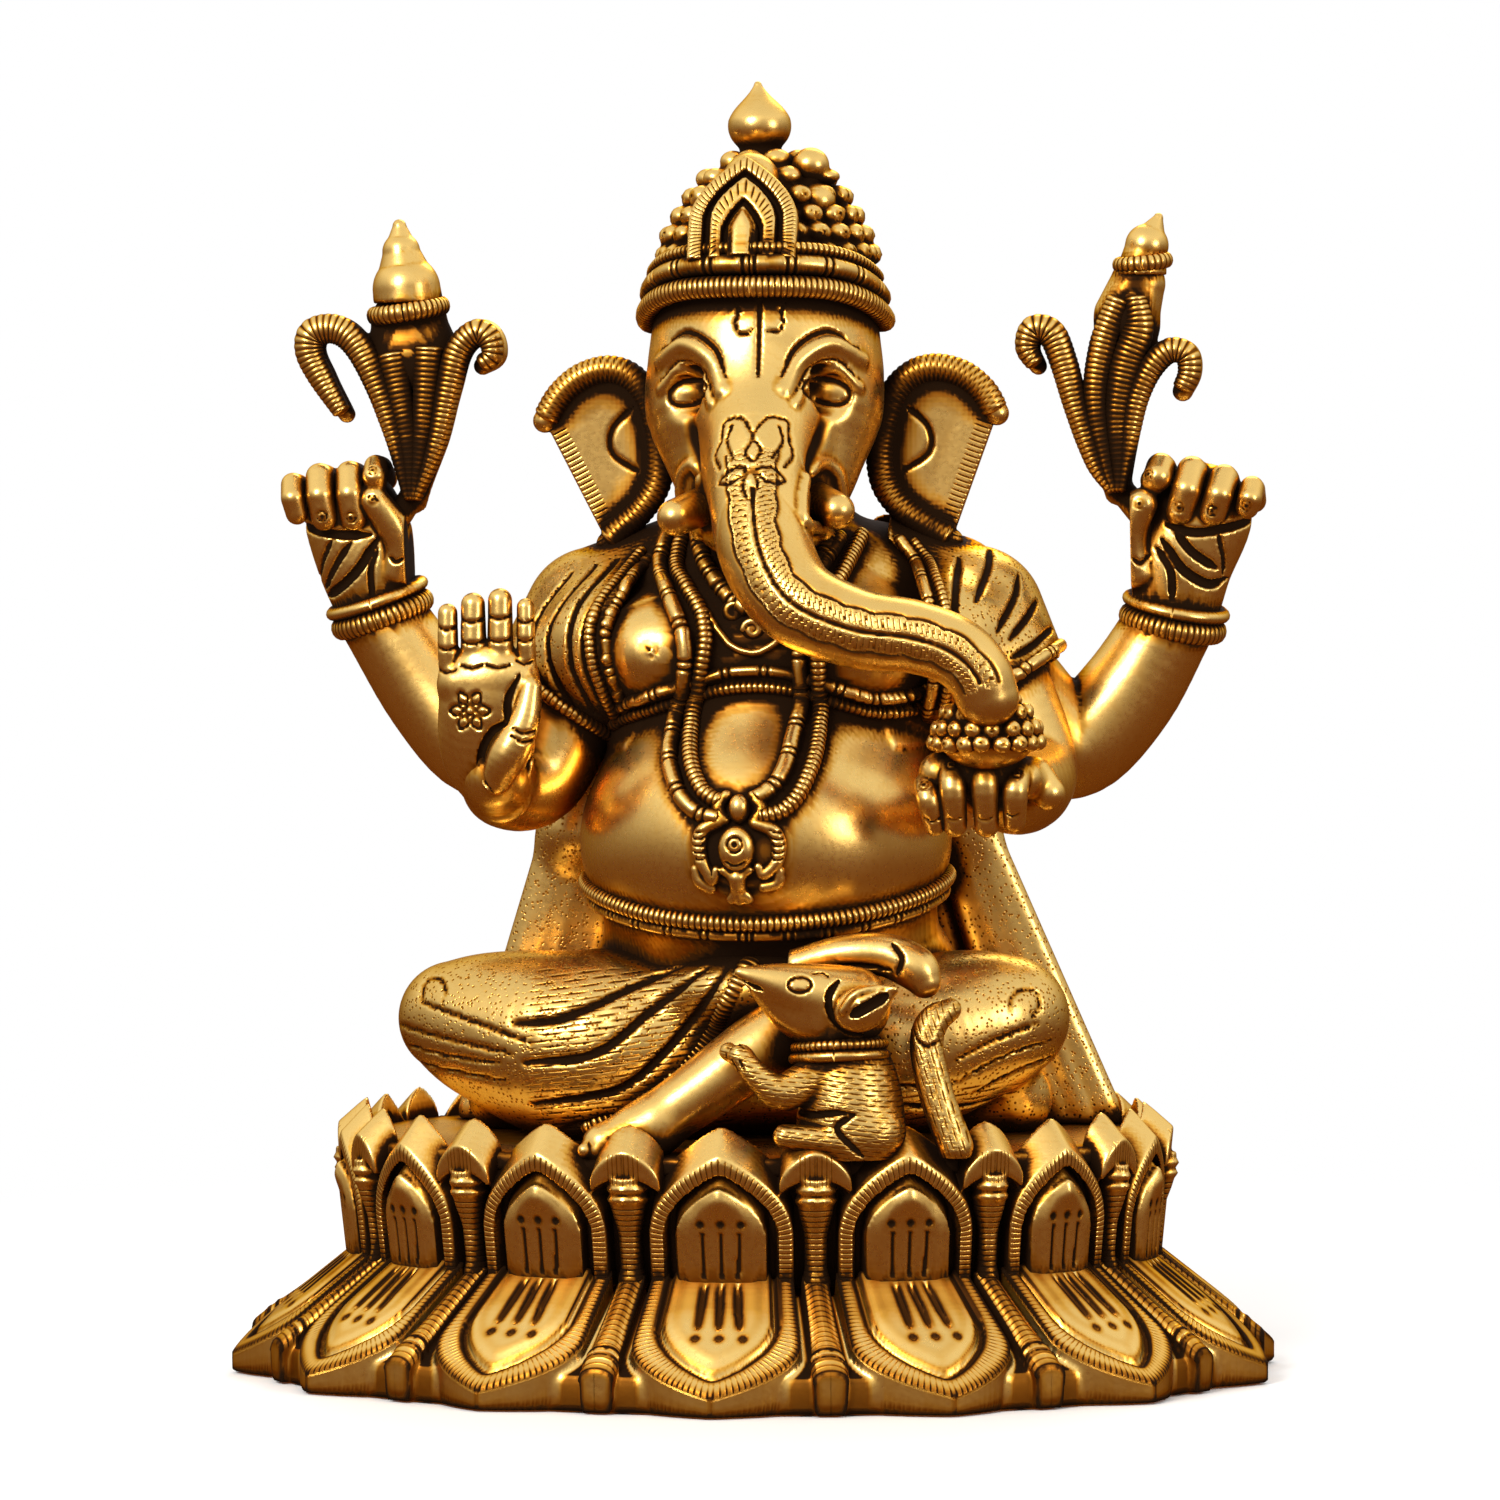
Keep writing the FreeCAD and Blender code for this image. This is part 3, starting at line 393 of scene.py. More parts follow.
SPECULAR_TINT = (0.75, 0.5, 0.25, 1)
# Colours from worn metal to patina and painted shade: how dark the spot is, its colour, and whether it is
# still bare metal.
PATINA_AND_SHADE = (
    (0.0, (0.97, 0.64, 0.20), True),
    (0.2, (0.80, 0.42, 0.065), True),
    (0.42, (0.46, 0.17, 0.015), True),
    (0.62, (0.085, 0.028, 0.005), False),
    (0.82, (0.016, 0.007, 0.003), False),
)


def brass(name, tone=1.0, punch=0.0, fur=0.0, hammer=0.12):
    """Patinated brass: dark in hollows from patina and painted shade, worn bright on edges, hatched where the
    chasing says so.
    """
    material = bpy.data.materials.new(name)
    material.use_nodes = True
    tree = material.node_tree
    shader = tree.nodes["Principled BSDF"]
    shader.inputs["Specular IOR Level"].default_value = 0.1
    shader.inputs["Specular Tint"].default_value = SPECULAR_TINT

    # Hollow darkening from darken_hollows: patina plus painted shade.
    hollow_patina_and_shade = attribute(tree, "hollow_patina_and_shade")
    edge = attribute(tree, "edge")
    chased = attribute(tree, "chased")
    phase = attribute(tree, "phase")
    wave = arithmetic(tree, "SINE", arithmetic(tree, "MULTIPLY", phase, 2 * math.pi))
    cut = arithmetic(tree, "POWER", arithmetic(tree, "MULTIPLY_ADD", wave, 0.5, 0.5), 5.0)
    cut = arithmetic(tree, "MULTIPLY", cut, chased)

    blotch = noise(tree, 70.0, 4.0)
    grain = noise(tree, 900.0, 2.0)
    dirt = arithmetic(tree, "MULTIPLY_ADD", blotch, 0.24, -0.12)
    dark = arithmetic(tree, "ADD", hollow_patina_and_shade, dirt)
    dark = arithmetic(tree, "MULTIPLY_ADD", cut, 0.75, dark)
    dark = arithmetic(tree, "MULTIPLY_ADD", edge, -0.45, dark, clamp=True)
    relief = arithmetic(tree, "MULTIPLY_ADD", grain, 0.10, arithmetic(tree, "MULTIPLY", blotch, hammer * 4))
    if punch:
        dots = stipple(tree, 880.0)
        dark = arithmetic(tree, "MULTIPLY_ADD", dots, punch * 0.5, dark, clamp=True)
        relief = arithmetic(tree, "MULTIPLY_ADD", dots, -punch, relief)
    if fur:
        hair = noise(tree, 420.0, 3.0, (1.0, 1.0, 3.4))
        strokes = arithmetic(tree, "SMOOTH_MAX", arithmetic(tree, "SUBTRACT", 0.52, hair), 0.0, 0.05)
        dark = arithmetic(tree, "MULTIPLY_ADD", strokes, fur * 3.0, dark, clamp=True)
        relief = arithmetic(tree, "MULTIPLY_ADD", strokes, -fur * 6.0, relief)
    relief = arithmetic(tree, "MULTIPLY_ADD", cut, -1.2, relief)

    colour = ramp(tree, dark, [
        (place, tuple(part * (tone if bare else 1) for part in rgb)) for place, rgb, bare in PATINA_AND_SHADE
    ], smooth=False)
    tree.links.new(colour, shader.inputs["Base Color"])
    rough = ramp(tree, dark, [(0.0, 0.22), (0.4, 0.34), (0.8, 0.75)], smooth=False)
    rough = arithmetic(tree, "MULTIPLY_ADD", grain, 0.12, rough)
    tree.links.new(rough, shader.inputs["Roughness"])
    tree.links.new(ramp(tree, dark, [(0.5, 1.0), (0.85, 0.2)], smooth=False), shader.inputs["Metallic"])
    bump = tree.nodes.new("ShaderNodeBump")
    bump.inputs["Strength"].default_value = 0.35
    bump.inputs["Distance"].default_value = 0.0006
    tree.links.new(relief, bump.inputs["Height"])
    tree.links.new(bump.outputs[0], shader.inputs["Normal"])
    return material


MATERIALS = {
    "polished": brass("polished_brass"),
    "chased": brass("chased_brass", tone=0.9, punch=0.9, hammer=0.2),
    "fur": brass("fur_brass", tone=0.86, fur=0.3),
    "ribbed": brass("ribbed_brass", tone=0.97, hammer=0.08),
    "lotus": brass("lotus_brass", hammer=0.18),
}


def ring_blur(grid, reach):
    """Three passes of a moving average along each axis."""
    width = 2 * reach + 1
    for axis in range(3):
        for _ in range(3):
            padding = [(0, 0)] * 3
            padding[axis] = (reach + 1, reach)
            total = np.cumsum(np.pad(grid, padding), axis=axis, dtype=np.float32)
            ahead = [slice(None)] * 3
            behind = [slice(None)] * 3
            ahead[axis] = slice(width, None)
            behind[axis] = slice(None, -width)
            grid = (total[tuple(ahead)] - total[tuple(behind)]) / width
    return grid


def read_mesh(piece):
    """Points and normals in millimetres, and the edges."""
    mesh = piece.data
    points = np.empty(len(mesh.vertices) * 3, np.float32)
    mesh.vertices.foreach_get("co", points)
    normals = np.empty_like(points)
    mesh.vertex_normals.foreach_get("vector", normals)
    edges = np.empty(len(mesh.edges) * 2, np.int32)
    mesh.edges.foreach_get("vertices", edges)
    return points.reshape(-1, 3) / MM, normals.reshape(-1, 3), edges.reshape(-1, 2)


def store(piece, name, values):
    """Writes one value per vertex, under a name that the materials read."""
    attribute_data = piece.data.attributes.get(name) or piece.data.attributes.new(name, "FLOAT", "POINT")
    attribute_data.data.foreach_set("value", np.asarray(values, np.float32))


def bend(points, normals, edges, rounds=2):
    """Signed curvature at each vertex, positive in hollows, smoothed over its neighbours."""
    step = points[edges[:, 1]] - points[edges[:, 0]]
    length = np.maximum(np.einsum("ij,ij->i", step, step), 1e-4)
    out = np.einsum("ij,ij->i", step, normals[edges[:, 0]]) / length
    back = -np.einsum("ij,ij->i", step, normals[edges[:, 1]]) / length
    count = np.bincount(edges.ravel(), minlength=len(points)) + 1e-6
    value = np.bincount(edges[:, 0], out, len(points)) + np.bincount(edges[:, 1], back, len(points))
    value = 2 * value / count
    for _ in range(rounds):
        near = np.bincount(edges[:, 0], value[edges[:, 1]], len(points))
        near += np.bincount(edges[:, 1], value[edges[:, 0]], len(points))
        value = 0.5 * value + 0.5 * near / count
    return value


def darken_hollows():
    """Gives every vertex of the brass its share of hollow darkening, which is patina and painted shade from
    nearby surfaces, and of edge wear.
    """
    cell = 1.0
    read = [read_mesh(piece) for piece in brass_pieces]
    low = np.min([points.min(0) for points, _, _ in read], axis=0) - 12
    high = np.max([points.max(0) for points, _, _ in read], axis=0) + 12
    counts = np.ceil((high - low) / cell).astype(int) + 1
    density = np.zeros(counts, np.float32)
    for points, _, edges in read:
        spacing = np.linalg.norm(points[edges[:, 1]] - points[edges[:, 0]], axis=1)
        around = np.bincount(edges.ravel(), minlength=len(points)) + 1e-6
        reach = sum(np.bincount(edges[:, end], spacing, len(points)) for end in (0, 1))
        at = tuple(((points - low) / cell + 0.5).astype(int).T)
        np.add.at(density, at, (reach / around) ** 2 / cell ** 3)
    fine = ring_blur(density, 1)
    broad = ring_blur(fine, 3)
    for piece, (points, normals, edges) in zip(brass_pieces, read):
        # Painted shade: near and far measure how much surface lies just outside each vertex, so hollows and
        # the gaps between parts are darkened where shade falls, together with the patina in them.
        near_at = ((points + normals * 1.5 - low) / cell + 0.5).astype(int)
        far_at = ((points + normals * 4.5 - low) / cell + 0.5).astype(int)
        near = fine[tuple(near_at.T)]
        far = broad[tuple(far_at.T)]
        curve_here = bend(points, normals, edges)
        hollow = np.clip(curve_here * 1.5, 0, 1)
        hollow_patina_and_shade = 0.42 * np.clip(near * 3.0 - 0.55, 0, 1.6) + 0.8 * np.clip(far * 7.0 - 0.62, 0, 1.2)
        hollow_patina_and_shade = np.clip(hollow_patina_and_shade * piece.get("shade", 1.0) + hollow, 0, 1)
        # Engraved lines and the darkened recesses of each piece add to the same patina and painted shade.
        if "recess_patina_and_shade" in piece.data.attributes:
            recess_dark = np.empty(len(points), np.float32)
            piece.data.attributes["recess_patina_and_shade"].data.foreach_get("value", recess_dark)
            hollow_patina_and_shade = np.maximum(hollow_patina_and_shade, recess_dark)
        store(piece, "hollow_patina_and_shade", hollow_patina_and_shade)
        store(piece, "edge", np.clip(-curve_here * 1.2 - 0.12, 0, 1))


# ---------------------------------------------------------------- lotus base

PETALS = 14
SEAM_Z = 27.3
SEAM = np.array([97.5, 60.5])
RIM = np.array([101.0, 67.0])
BRIM = np.array([126.0, 82.6])
CUP_HEIGHT = 34.5
CUP_TILE = 22.0
SKIRT_TILE = 25.0
SKIRT_LENGTH = 34.0
PITCH = 1.15
DECK_TOP = 56.1

# Leaf outlines for leaf_inset: half width, length, where the taper starts, its power, the tip's bluntness.
CUP_LEAF = (16.3, 29.6, 0.38, 2.0, 1.3)
SKIRT_EDGE = (19.2, SKIRT_LENGTH, 0.5, 2.0)
SKIRT_LEAF = (12.6, 27.0, 0.4, 2.0, 1.0)
PLAQUE_ARCH = (12.8, 24.6, 0.3, 2.0)
PLAQUE_DROP = (4.9, 13.4, 0.35, 1.7)


def leaf_inset(across, up, half, length, start=0.4, power=2.0, blunt=0.0):
    """Distance inside a pointed leaf whose foot is at up = 0 and whose tip is at up = length."""
    across = np.sqrt(across ** 2 + blunt ** 2) - 0.4 * blunt
    foot = start * length
    share = np.maximum(up - foot, 0) / (length - foot)
    width = half * (1 - share ** power)
    slope = half * power * share ** (power - 1) / (length - foot)
    return (width - np.abs(across)) / np.sqrt(1 + slope ** 2)


def step_up(value, start, width):
    """0 below start, 1 above start + width, smooth between."""
    t = np.clip((value - start) / width, 0, 1)
    return t * t * (3 - 2 * t)


def cup_bevel(out, up):
    """How far the slanting top of an upright petal rises towards its front."""
    return np.clip(out, 0, 7.5) * 0.92 * step_up(up, 12, 6)


def chase(piece, phase, chased):
    """Hatching for the brass: where each point is in the pattern, and how deep the pattern is there."""
    store(piece, "phase", phase)
    store(piece, "chased", chased)


def dashes(across, up, pitch, length):
    """Rows of short engraved dashes: which row a point is in, and how much of a dash it lies on."""
    row = up / pitch
    wave = np.sin(2 * math.pi * (across / length + 0.5 * np.round(row)))
    return row, np.clip(0.75 + 0.8 * wave, 0, 1)


def keep_inside(points, quads, half):
    """Drops the faces that only close the tile at its two side borders."""
    centre = points[quads][:, :, 0].mean(1)
    return quads[np.abs(centre) < half]


def leaf_lines(clay, foot, top, spread, lean, start_up, dot_up):
    """Three engraved lines with a dot at the end of each."""
    for side in (-1, 0, 1):
        low = (side * spread, start_up)
        high = (side * (spread + lean) + 0.4 * lean, top)
        path = clay.front(np.linspace(low[0], high[0], 6), np.linspace(low[1] + foot, high[1], 6))
        clay.groove(path, 1.0, 0.8)
        spot = clay.front([high[0] + 0.3 * side], [top + dot_up])[0]
        clay.pit(spot, 0.8)


def cup_tile():
    """One upright petal with half a column at each side: x across, -y outwards, z up from the seam."""
    clay = Clay((-CUP_TILE - 1.2, -3.5, -1.5), (CUP_TILE + 1.2, 12, CUP_HEIGHT + 2), 0.6)

    def petal(x, y, z):
        inset = leaf_inset(x, z - cup_bevel(y, z), *CUP_LEAF)
        border = step_up(inset, 0.0, 0.9)
        groove = step_up(inset, 3.5, 0.7) * (1 - step_up(inset, 5.6, 0.8))
        boss = step_up(inset, 5.6, 4.5)
        keel = np.clip(1 - np.abs(x) / 6.0, 0, 1) * step_up(z, 13, 7) * 1.2
        out = 0.5 * border - 4.2 * groove + (1.1 * boss + keel) * step_up(inset, 5.6, 1.2) - 0.5
        return np.maximum(np.maximum((-out - y) * 0.8, -inset), y - 8.0)

    def wall(x, y, z):
        return np.maximum(np.maximum(6.3 - y, y - 9.0), z - 25.0)

    def shaft(x, y, z):
        swell = 2.7 + 1.6 * step_up(z, 10, 9) + 0.9 * np.exp(-(z / 2.2) ** 2)
        for ring in (19.4, 21.9):
            swell = swell + 0.7 * np.exp(-((z - ring) / 0.75) ** 2)
        away = np.sqrt((CUP_TILE - np.abs(x)) ** 2 + ((y - 3.2) * 0.9) ** 2) - swell
        return np.maximum(away, z - 24.5)

    def cap(x, y, z):
        side = CUP_TILE - np.abs(x)
        bevel = np.clip(y + 0.4, 0, 7.5) * 0.8
        top = leaf_inset(side, z - bevel - 18.0, 7.8, 12.9, 0.3, 2.3, 1.8)
        low_edge = z - (24.6 - 0.05 * side ** 2)
        chin = low_edge + np.clip(y - 0.6, 0, 9) * 0.35
        return np.maximum(np.maximum(np.maximum(-top, -0.2 - y), -chin), y - 7.5)

    clay.shape(petal)
    clay.shape(wall)
    clay.shape(shaft, blend=0.5)
    clay.shape(cap, blend=0.4)
    leaf_lines(clay, 0.0, 12.8, 3.9, 0.5, 1.0, 1.3)
    points, quads = clay.mesh()
    quads = keep_inside(points, quads, CUP_TILE)
    across, out, up = points.T
    inset = leaf_inset(across, up - cup_bevel(out, up), *CUP_LEAF)
    on_petal = np.abs(across) < 16.6
    round_arch = np.where(up > 9, 9 + 15 * np.arctan2(up - 9, np.abs(across)), up)
    border = on_petal * step_up(inset, 0.2, 0.5) * (1 - step_up(inset, 3.3, 0.5)) * (out < 1.5)
    column = (np.abs(across) > 17.5) * (out < 4.5)
    shaft_rings = column * (up < 17.5)
    cap_ribs = column * (up > 23) * (up < 30.0) * (out < 0.6)
    column_phase = np.where(up < 20, up / 1.3, (CUP_TILE - np.abs(across)) / 1.1)
    phase = np.where(on_petal, round_arch / PITCH, column_phase)
    chased = np.clip(border + shaft_rings + 0.7 * cap_ribs, 0, 1)
    # Painted shade: the groove inside the petal's border and the wall deep behind the petals are darkened,
    # along with the patina in the engraved lines.
    gap = on_petal * step_up(inset, 3.6, 0.5) * (1 - step_up(inset, 5.4, 0.5)) * (out > 0.6)
    recess_dark = np.clip(clay.recess_patina_and_shade(points) + gap + (out > 5.2) * (up < 24), 0, 1)
    return points, quads, phase, chased, recess_dark


def skirt_tile():
    """One sloping petal with half a column at each side: x across, -y off the slope, z down the slope."""
    clay = Clay((-SKIRT_TILE - 1.2, -2.5, -4), (SKIRT_TILE + 1.2, 5.2, SKIRT_LENGTH + 1.5), 0.6)

    def petal(x, y, z):
        inset = leaf_inset(x, z, *SKIRT_EDGE)
        inner = leaf_inset(x, z, *SKIRT_LEAF)
        groove = step_up(inner, -1.9, 0.5) * (1 - step_up(inner, -0.5, 0.6))
        leaf = step_up(inner, -0.5, 4.5)
        out = -1.6 * groove + 1.0 * leaf
        return np.maximum(np.maximum((-out - y) * 0.85, -inset), y - 4.0)

    def floor(x, y, z):
        return np.maximum(np.maximum(2.4 - y, y - 4.0), z - 25.5)

    def column(x, y, z):
        wide = 2.6 + 1.3 * step_up(z, 12, 14)
        ring = sum(0.6 * np.exp(-((z - at) / 0.7) ** 2) for at in (21.0, 23.6))
        away = np.sqrt((SKIRT_TILE - np.abs(x)) ** 2 + ((y - 1.4) * 1.5) ** 2) - wide - ring
        return np.maximum(np.maximum(away, z - 28.4), y - 4.0)

    def column_foot(x, y, z):
        return np.maximum(np.maximum(SKIRT_TILE - np.abs(x) - 3.6, np.abs(y - 2.5) - 1.5), z - 28.0)

    clay.shape(petal)
    clay.shape(floor)
    clay.shape(column, blend=0.4)
    clay.shape(column_foot)
    for side in (-1, 0, 1):
        path = clay.front(np.linspace(side * 4.2, side * 4.9 + 0.5, 6), np.linspace(0.5, 15.5, 6))
        clay.groove(path, 1.25, 1.15)
        clay.pit(clay.front([side * 5.4 + 0.8], [17.6])[0], 0.8)
    points, quads = clay.mesh()
    quads = keep_inside(points, quads, SKIRT_TILE)
    across, out, down = points.T
    inset = leaf_inset(across, down, *SKIRT_EDGE)
    inner = leaf_inset(across, down, *SKIRT_LEAF)
    on_petal = (inset > -0.3) * (out < 1.0)
    round_tip = np.where(down > 12, 12 + 17 * np.arctan2(down - 12, np.abs(across)), down)
    border = on_petal * (1 - step_up(inner, -3.2, 0.6)) * (1 - 0.8 * np.exp(-((inset - 2.6) / 0.8) ** 2))
    column_top = (np.abs(across) > 21.0) * (out < 2.0)
    phase = np.where(on_petal > 0, round_tip / PITCH, down / 1.6)
    # Painted shade: the groove round the inner leaf and the slots beside the columns are darkened, which also
    # paints over their highlights; the engraved lines add their patina.
    groove = (out < 2.2) * step_up(inner, -2.0, 0.4) * (1 - step_up(inner, -0.7, 0.4))
    slot = (1 - step_up(inset, -1.6, 0.8)) * (np.abs(across) < 21.9)
    slot = slot * np.where(down < 24, step_up(out, 0.6, 1.0), 0.5)
    recess_dark = np.clip(clay.recess_patina_and_shade(points) + groove + slot, 0, 1)
    return points, quads, phase, np.clip(0.6 * border + 0.4 * column_top, 0, 1), recess_dark


def on_ellipse(turn, axes):
    """A point and the outward direction on a ring; turn is in petals, with petal 0 at the front."""
    angle = 2 * math.pi * turn / PETALS
    place = np.column_stack([axes[:, 0] * np.sin(angle), -axes[:, 1] * np.cos(angle)])
    out = np.column_stack([np.sin(angle) / axes[:, 0], -np.cos(angle) / axes[:, 1]])
    return place, out / np.linalg.norm(out, axis=1, keepdims=True)


def lotus_cup():
    """The upright ring: the same petal bent round an oval, fourteen times."""
    points, quads, phase, chased, recess_dark = cup_tile()
    for number in range(PETALS):
        share = np.clip(points[:, 2] / CUP_HEIGHT, 0, 1)[:, None]
        axes = SEAM + (RIM - SEAM) * share
        place, out = on_ellipse(number + points[:, 0] / (2 * CUP_TILE), axes)
        place = place - out * (points[:, 1:2] + 0.8)
        piece = add_piece(f"cup_petal_{number + 1:02d}", np.column_stack([place, SEAM_Z + points[:, 2]]),
                          quads, "lotus", ("lotus_cup",))
        piece["shade"] = 0.8
        store(piece, "recess_patina_and_shade", recess_dark)
        chase(piece, phase, chased)


def lotus_skirt():
    """The sloping ring: the same petal laid down the slope, fourteen times."""
    points, quads, phase, chased, recess_dark = skirt_tile()
    down = points[:, 2]
    drop = points[:, 1]
    slope = SEAM_Z - 0.66 * down
    solid = np.clip(slope - 2.2, 0.6, None)
    height = np.where(drop < 2.2, slope - drop, solid * (4.0 - drop) / 1.8)
    height = np.where(drop > 3.9, 0.0, np.maximum(height, 0))
    for number in range(PETALS):
        axes = SEAM + (BRIM - SEAM) * (down / SKIRT_LENGTH)[:, None]
        place, _ = on_ellipse(number + points[:, 0] / (2 * SKIRT_TILE), axes)
        piece = add_piece(f"skirt_petal_{number + 1:02d}", np.column_stack([place, height]),
                          quads, "lotus", ("lotus_skirt",))
        piece["shade"] = 0.2
        store(piece, "recess_patina_and_shade", recess_dark)
        chase(piece, phase, chased)


def deck():
    """Closed top of the base, seen between the figure and the petals."""
    clay = Clay((-99, -66, 50), (99, 66, 59), 1.2)
    clay.shape(lambda x, y, z: np.maximum(
        (np.sqrt((x / 95.5) ** 2 + (y / 59.5) ** 2) - 1) * 60, np.abs(z - 54) - 2.0))
    add_clay("deck", clay, "lotus", ("lotus_cup",))


# ---------------------------------------------------------------- studio


def pale_floor():
    """White floor that catches the shadow near the idol and melts into the background far away."""
    material = bpy.data.materials.new("studio_floor")
    material.use_nodes = True
    tree = material.node_tree
    shader = tree.nodes["Principled BSDF"]
    place = tree.nodes.new("ShaderNodeTexCoord").outputs["Object"]
    length = tree.nodes.new("ShaderNodeVectorMath")
    length.operation = "LENGTH"
    tree.links.new(place, length.inputs[0])
    far = length.outputs["Value"]
    tree.links.new(ramp(tree, far, [(0.16, 0.95), (0.42, 0.0)]), shader.inputs["Base Color"])
    tree.links.new(ramp(tree, far, [(0.16, 0.0), (0.42, 1.0)]), shader.inputs["Emission Strength"])
    shader.inputs["Emission Color"].default_value = (1, 1, 1, 1)
    shader.inputs["Roughness"].default_value = 1.0
    shader.inputs["Specular IOR Level"].default_value = 0.0
    return material


def steel():
    """Steel for the bolts and washers that hold the figure to the base."""
    material = bpy.data.materials.new("steel")
    material.use_nodes = True
    tree = material.node_tree
    shader = tree.nodes["Principled BSDF"]
    grain = noise(tree, 700.0, 3.0)
    tree.links.new(ramp(tree, grain, [(0.2, 0.42), (0.8, 0.56)]), shader.inputs["Base Color"])
    tree.links.new(ramp(tree, grain, [(0.2, 0.28), (0.8, 0.42)]), shader.inputs["Roughness"])
    shader.inputs["Metallic"].default_value = 1.0
    for node in ("figure_bolts", "figure_washers"):
        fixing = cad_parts[node]
        fixing.data.materials.clear()
        fixing.data.materials.append(material)


def studio():
    """Pale floor, a soft sky that is bright above and warm below, and three soft lamps."""
    bpy.ops.mesh.primitive_plane_add(size=12, location=(0, 0, -0.0005))
    floor = bpy.context.object
    floor.name = "studio_floor"
    floor.data.materials.append(pale_floor())
    floor.visible_glossy = False

    world = bpy.data.worlds.new("studio")
    bpy.context.scene.world = world
    world.use_nodes = True
    tree = world.node_tree
    tree.nodes.clear()
    place = tree.nodes.new("ShaderNodeTexCoord").outputs["Generated"]
    split = tree.nodes.new("ShaderNodeSeparateXYZ")
    tree.links.new(place, split.inputs[0])
    sky = ramp(tree, arithmetic(tree, "MULTIPLY_ADD", split.outputs["Z"], 0.5, 0.5), [
        (0.0, (0.15, 0.05, 0.01)), (0.38, (0.16, 0.065, 0.02)), (0.5, (0.27, 0.20, 0.13)),
        (0.6, (0.50, 0.46, 0.42)), (0.78, (0.95, 0.95, 0.95)), (1.0, (0.8, 0.8, 0.8))], smooth=False)
    path = tree.nodes.new("ShaderNodeLightPath")
    mix = tree.nodes.new("ShaderNodeMix")
    mix.data_type = "RGBA"
    tree.links.new(path.outputs["Is Camera Ray"], mix.inputs["Factor"])
    tree.links.new(sky, mix.inputs["A"])
    mix.inputs["B"].default_value = (1, 1, 1, 1)
    background = tree.nodes.new("ShaderNodeBackground")
    tree.links.new(mix.outputs["Result"], background.inputs["Color"])
    background.inputs["Strength"].default_value = 1.0
    output = tree.nodes.new("ShaderNodeOutputWorld")
    tree.links.new(background.outputs[0], output.inputs[0])

    lamps = (
        ("key", (-0.45, -0.95, 0.75), 0.5, 9.0, (1.0, 0.97, 0.92)),
        ("fill", (0.9, -0.6, 0.4), 0.4, 2.6, (1.0, 0.94, 0.86)),
        ("back", (0.1, 0.8, 0.9), 0.7, 4.0, (1.0, 1.0, 1.0)),
    )
    for name, place, wide, power, colour in lamps:
        light = bpy.data.lights.new(name, "AREA")
        light.shape = "DISK"
        light.size = wide
        light.energy = power
        light.color = colour
        lamp = bpy.data.objects.new(name, light)
        lamp.location = place
        aim = Vector((0, 0, 0.15)) - Vector(place)
        lamp.rotation_euler = aim.to_track_quat("-Z", "Y").to_euler()
        bpy.context.scene.collection.objects.link(lamp)


def camera():
    """Looks at the idol from 7 degrees to its left, a little above the middle."""
    turn = math.radians(7.0)
    distance = 1500.0
    aim_height = 146.7
    eye_height = 219.9
    reach = math.sqrt(distance ** 2 - (eye_height - 150.0) ** 2)
    eye = Vector((math.sin(turn) * reach, -math.cos(turn) * reach, eye_height)) * MM
    aim = Vector((0, 0, aim_height)) * MM - eye
    lens = bpy.data.cameras.new("camera")
    lens.sensor_width = 36.0
    lens.lens = 36.0 * distance / (1500 * 0.2370)
    lens.dof.use_dof = False
    viewer = bpy.data.objects.new("camera", lens)
    viewer.location = eye
    roll = Matrix.Rotation(math.radians(-0.4), 4, "Z")
    viewer.matrix_world = Matrix.Translation(eye) @ aim.to_track_quat("-Z", "Y").to_matrix().to_4x4() @ roll
    bpy.context.scene.collection.objects.link(viewer)
    bpy.context.scene.camera = viewer
    bpy.context.scene.view_settings.view_transform = "Standard"


# ---------------------------------------------------------------- bands and cords


def cuts(along, pitch, width, depth, pair=0.0):
    """Narrow cuts across a band, one per pitch, or in pairs that lie a little apart."""
    share = 0.0
    for offset in ((-pair / 2, pair / 2) if pair else (0.0,)):
        gap = (along + offset + pitch / 2) % pitch - pitch / 2
        share = share + np.exp(-(gap / width) ** 2)
    return 1 - depth * np.clip(share, 0, 1)


def ribbed(along):
    """Close fine ribs."""
    return cuts(along, 1.35, 0.26, 0.12)


def segmented(along):
    """Long beads, each closed by a pair of cuts."""
    return cuts(along, 9.0, 0.35, 0.26, pair=1.7)


def plain(along):
    """No cuts."""
    return np.ones_like(along)


def away_from(centre):
    """Directions away from a centre, for band."""
    return lambda spots: spots - np.array(centre)


RING_POINTS = 14


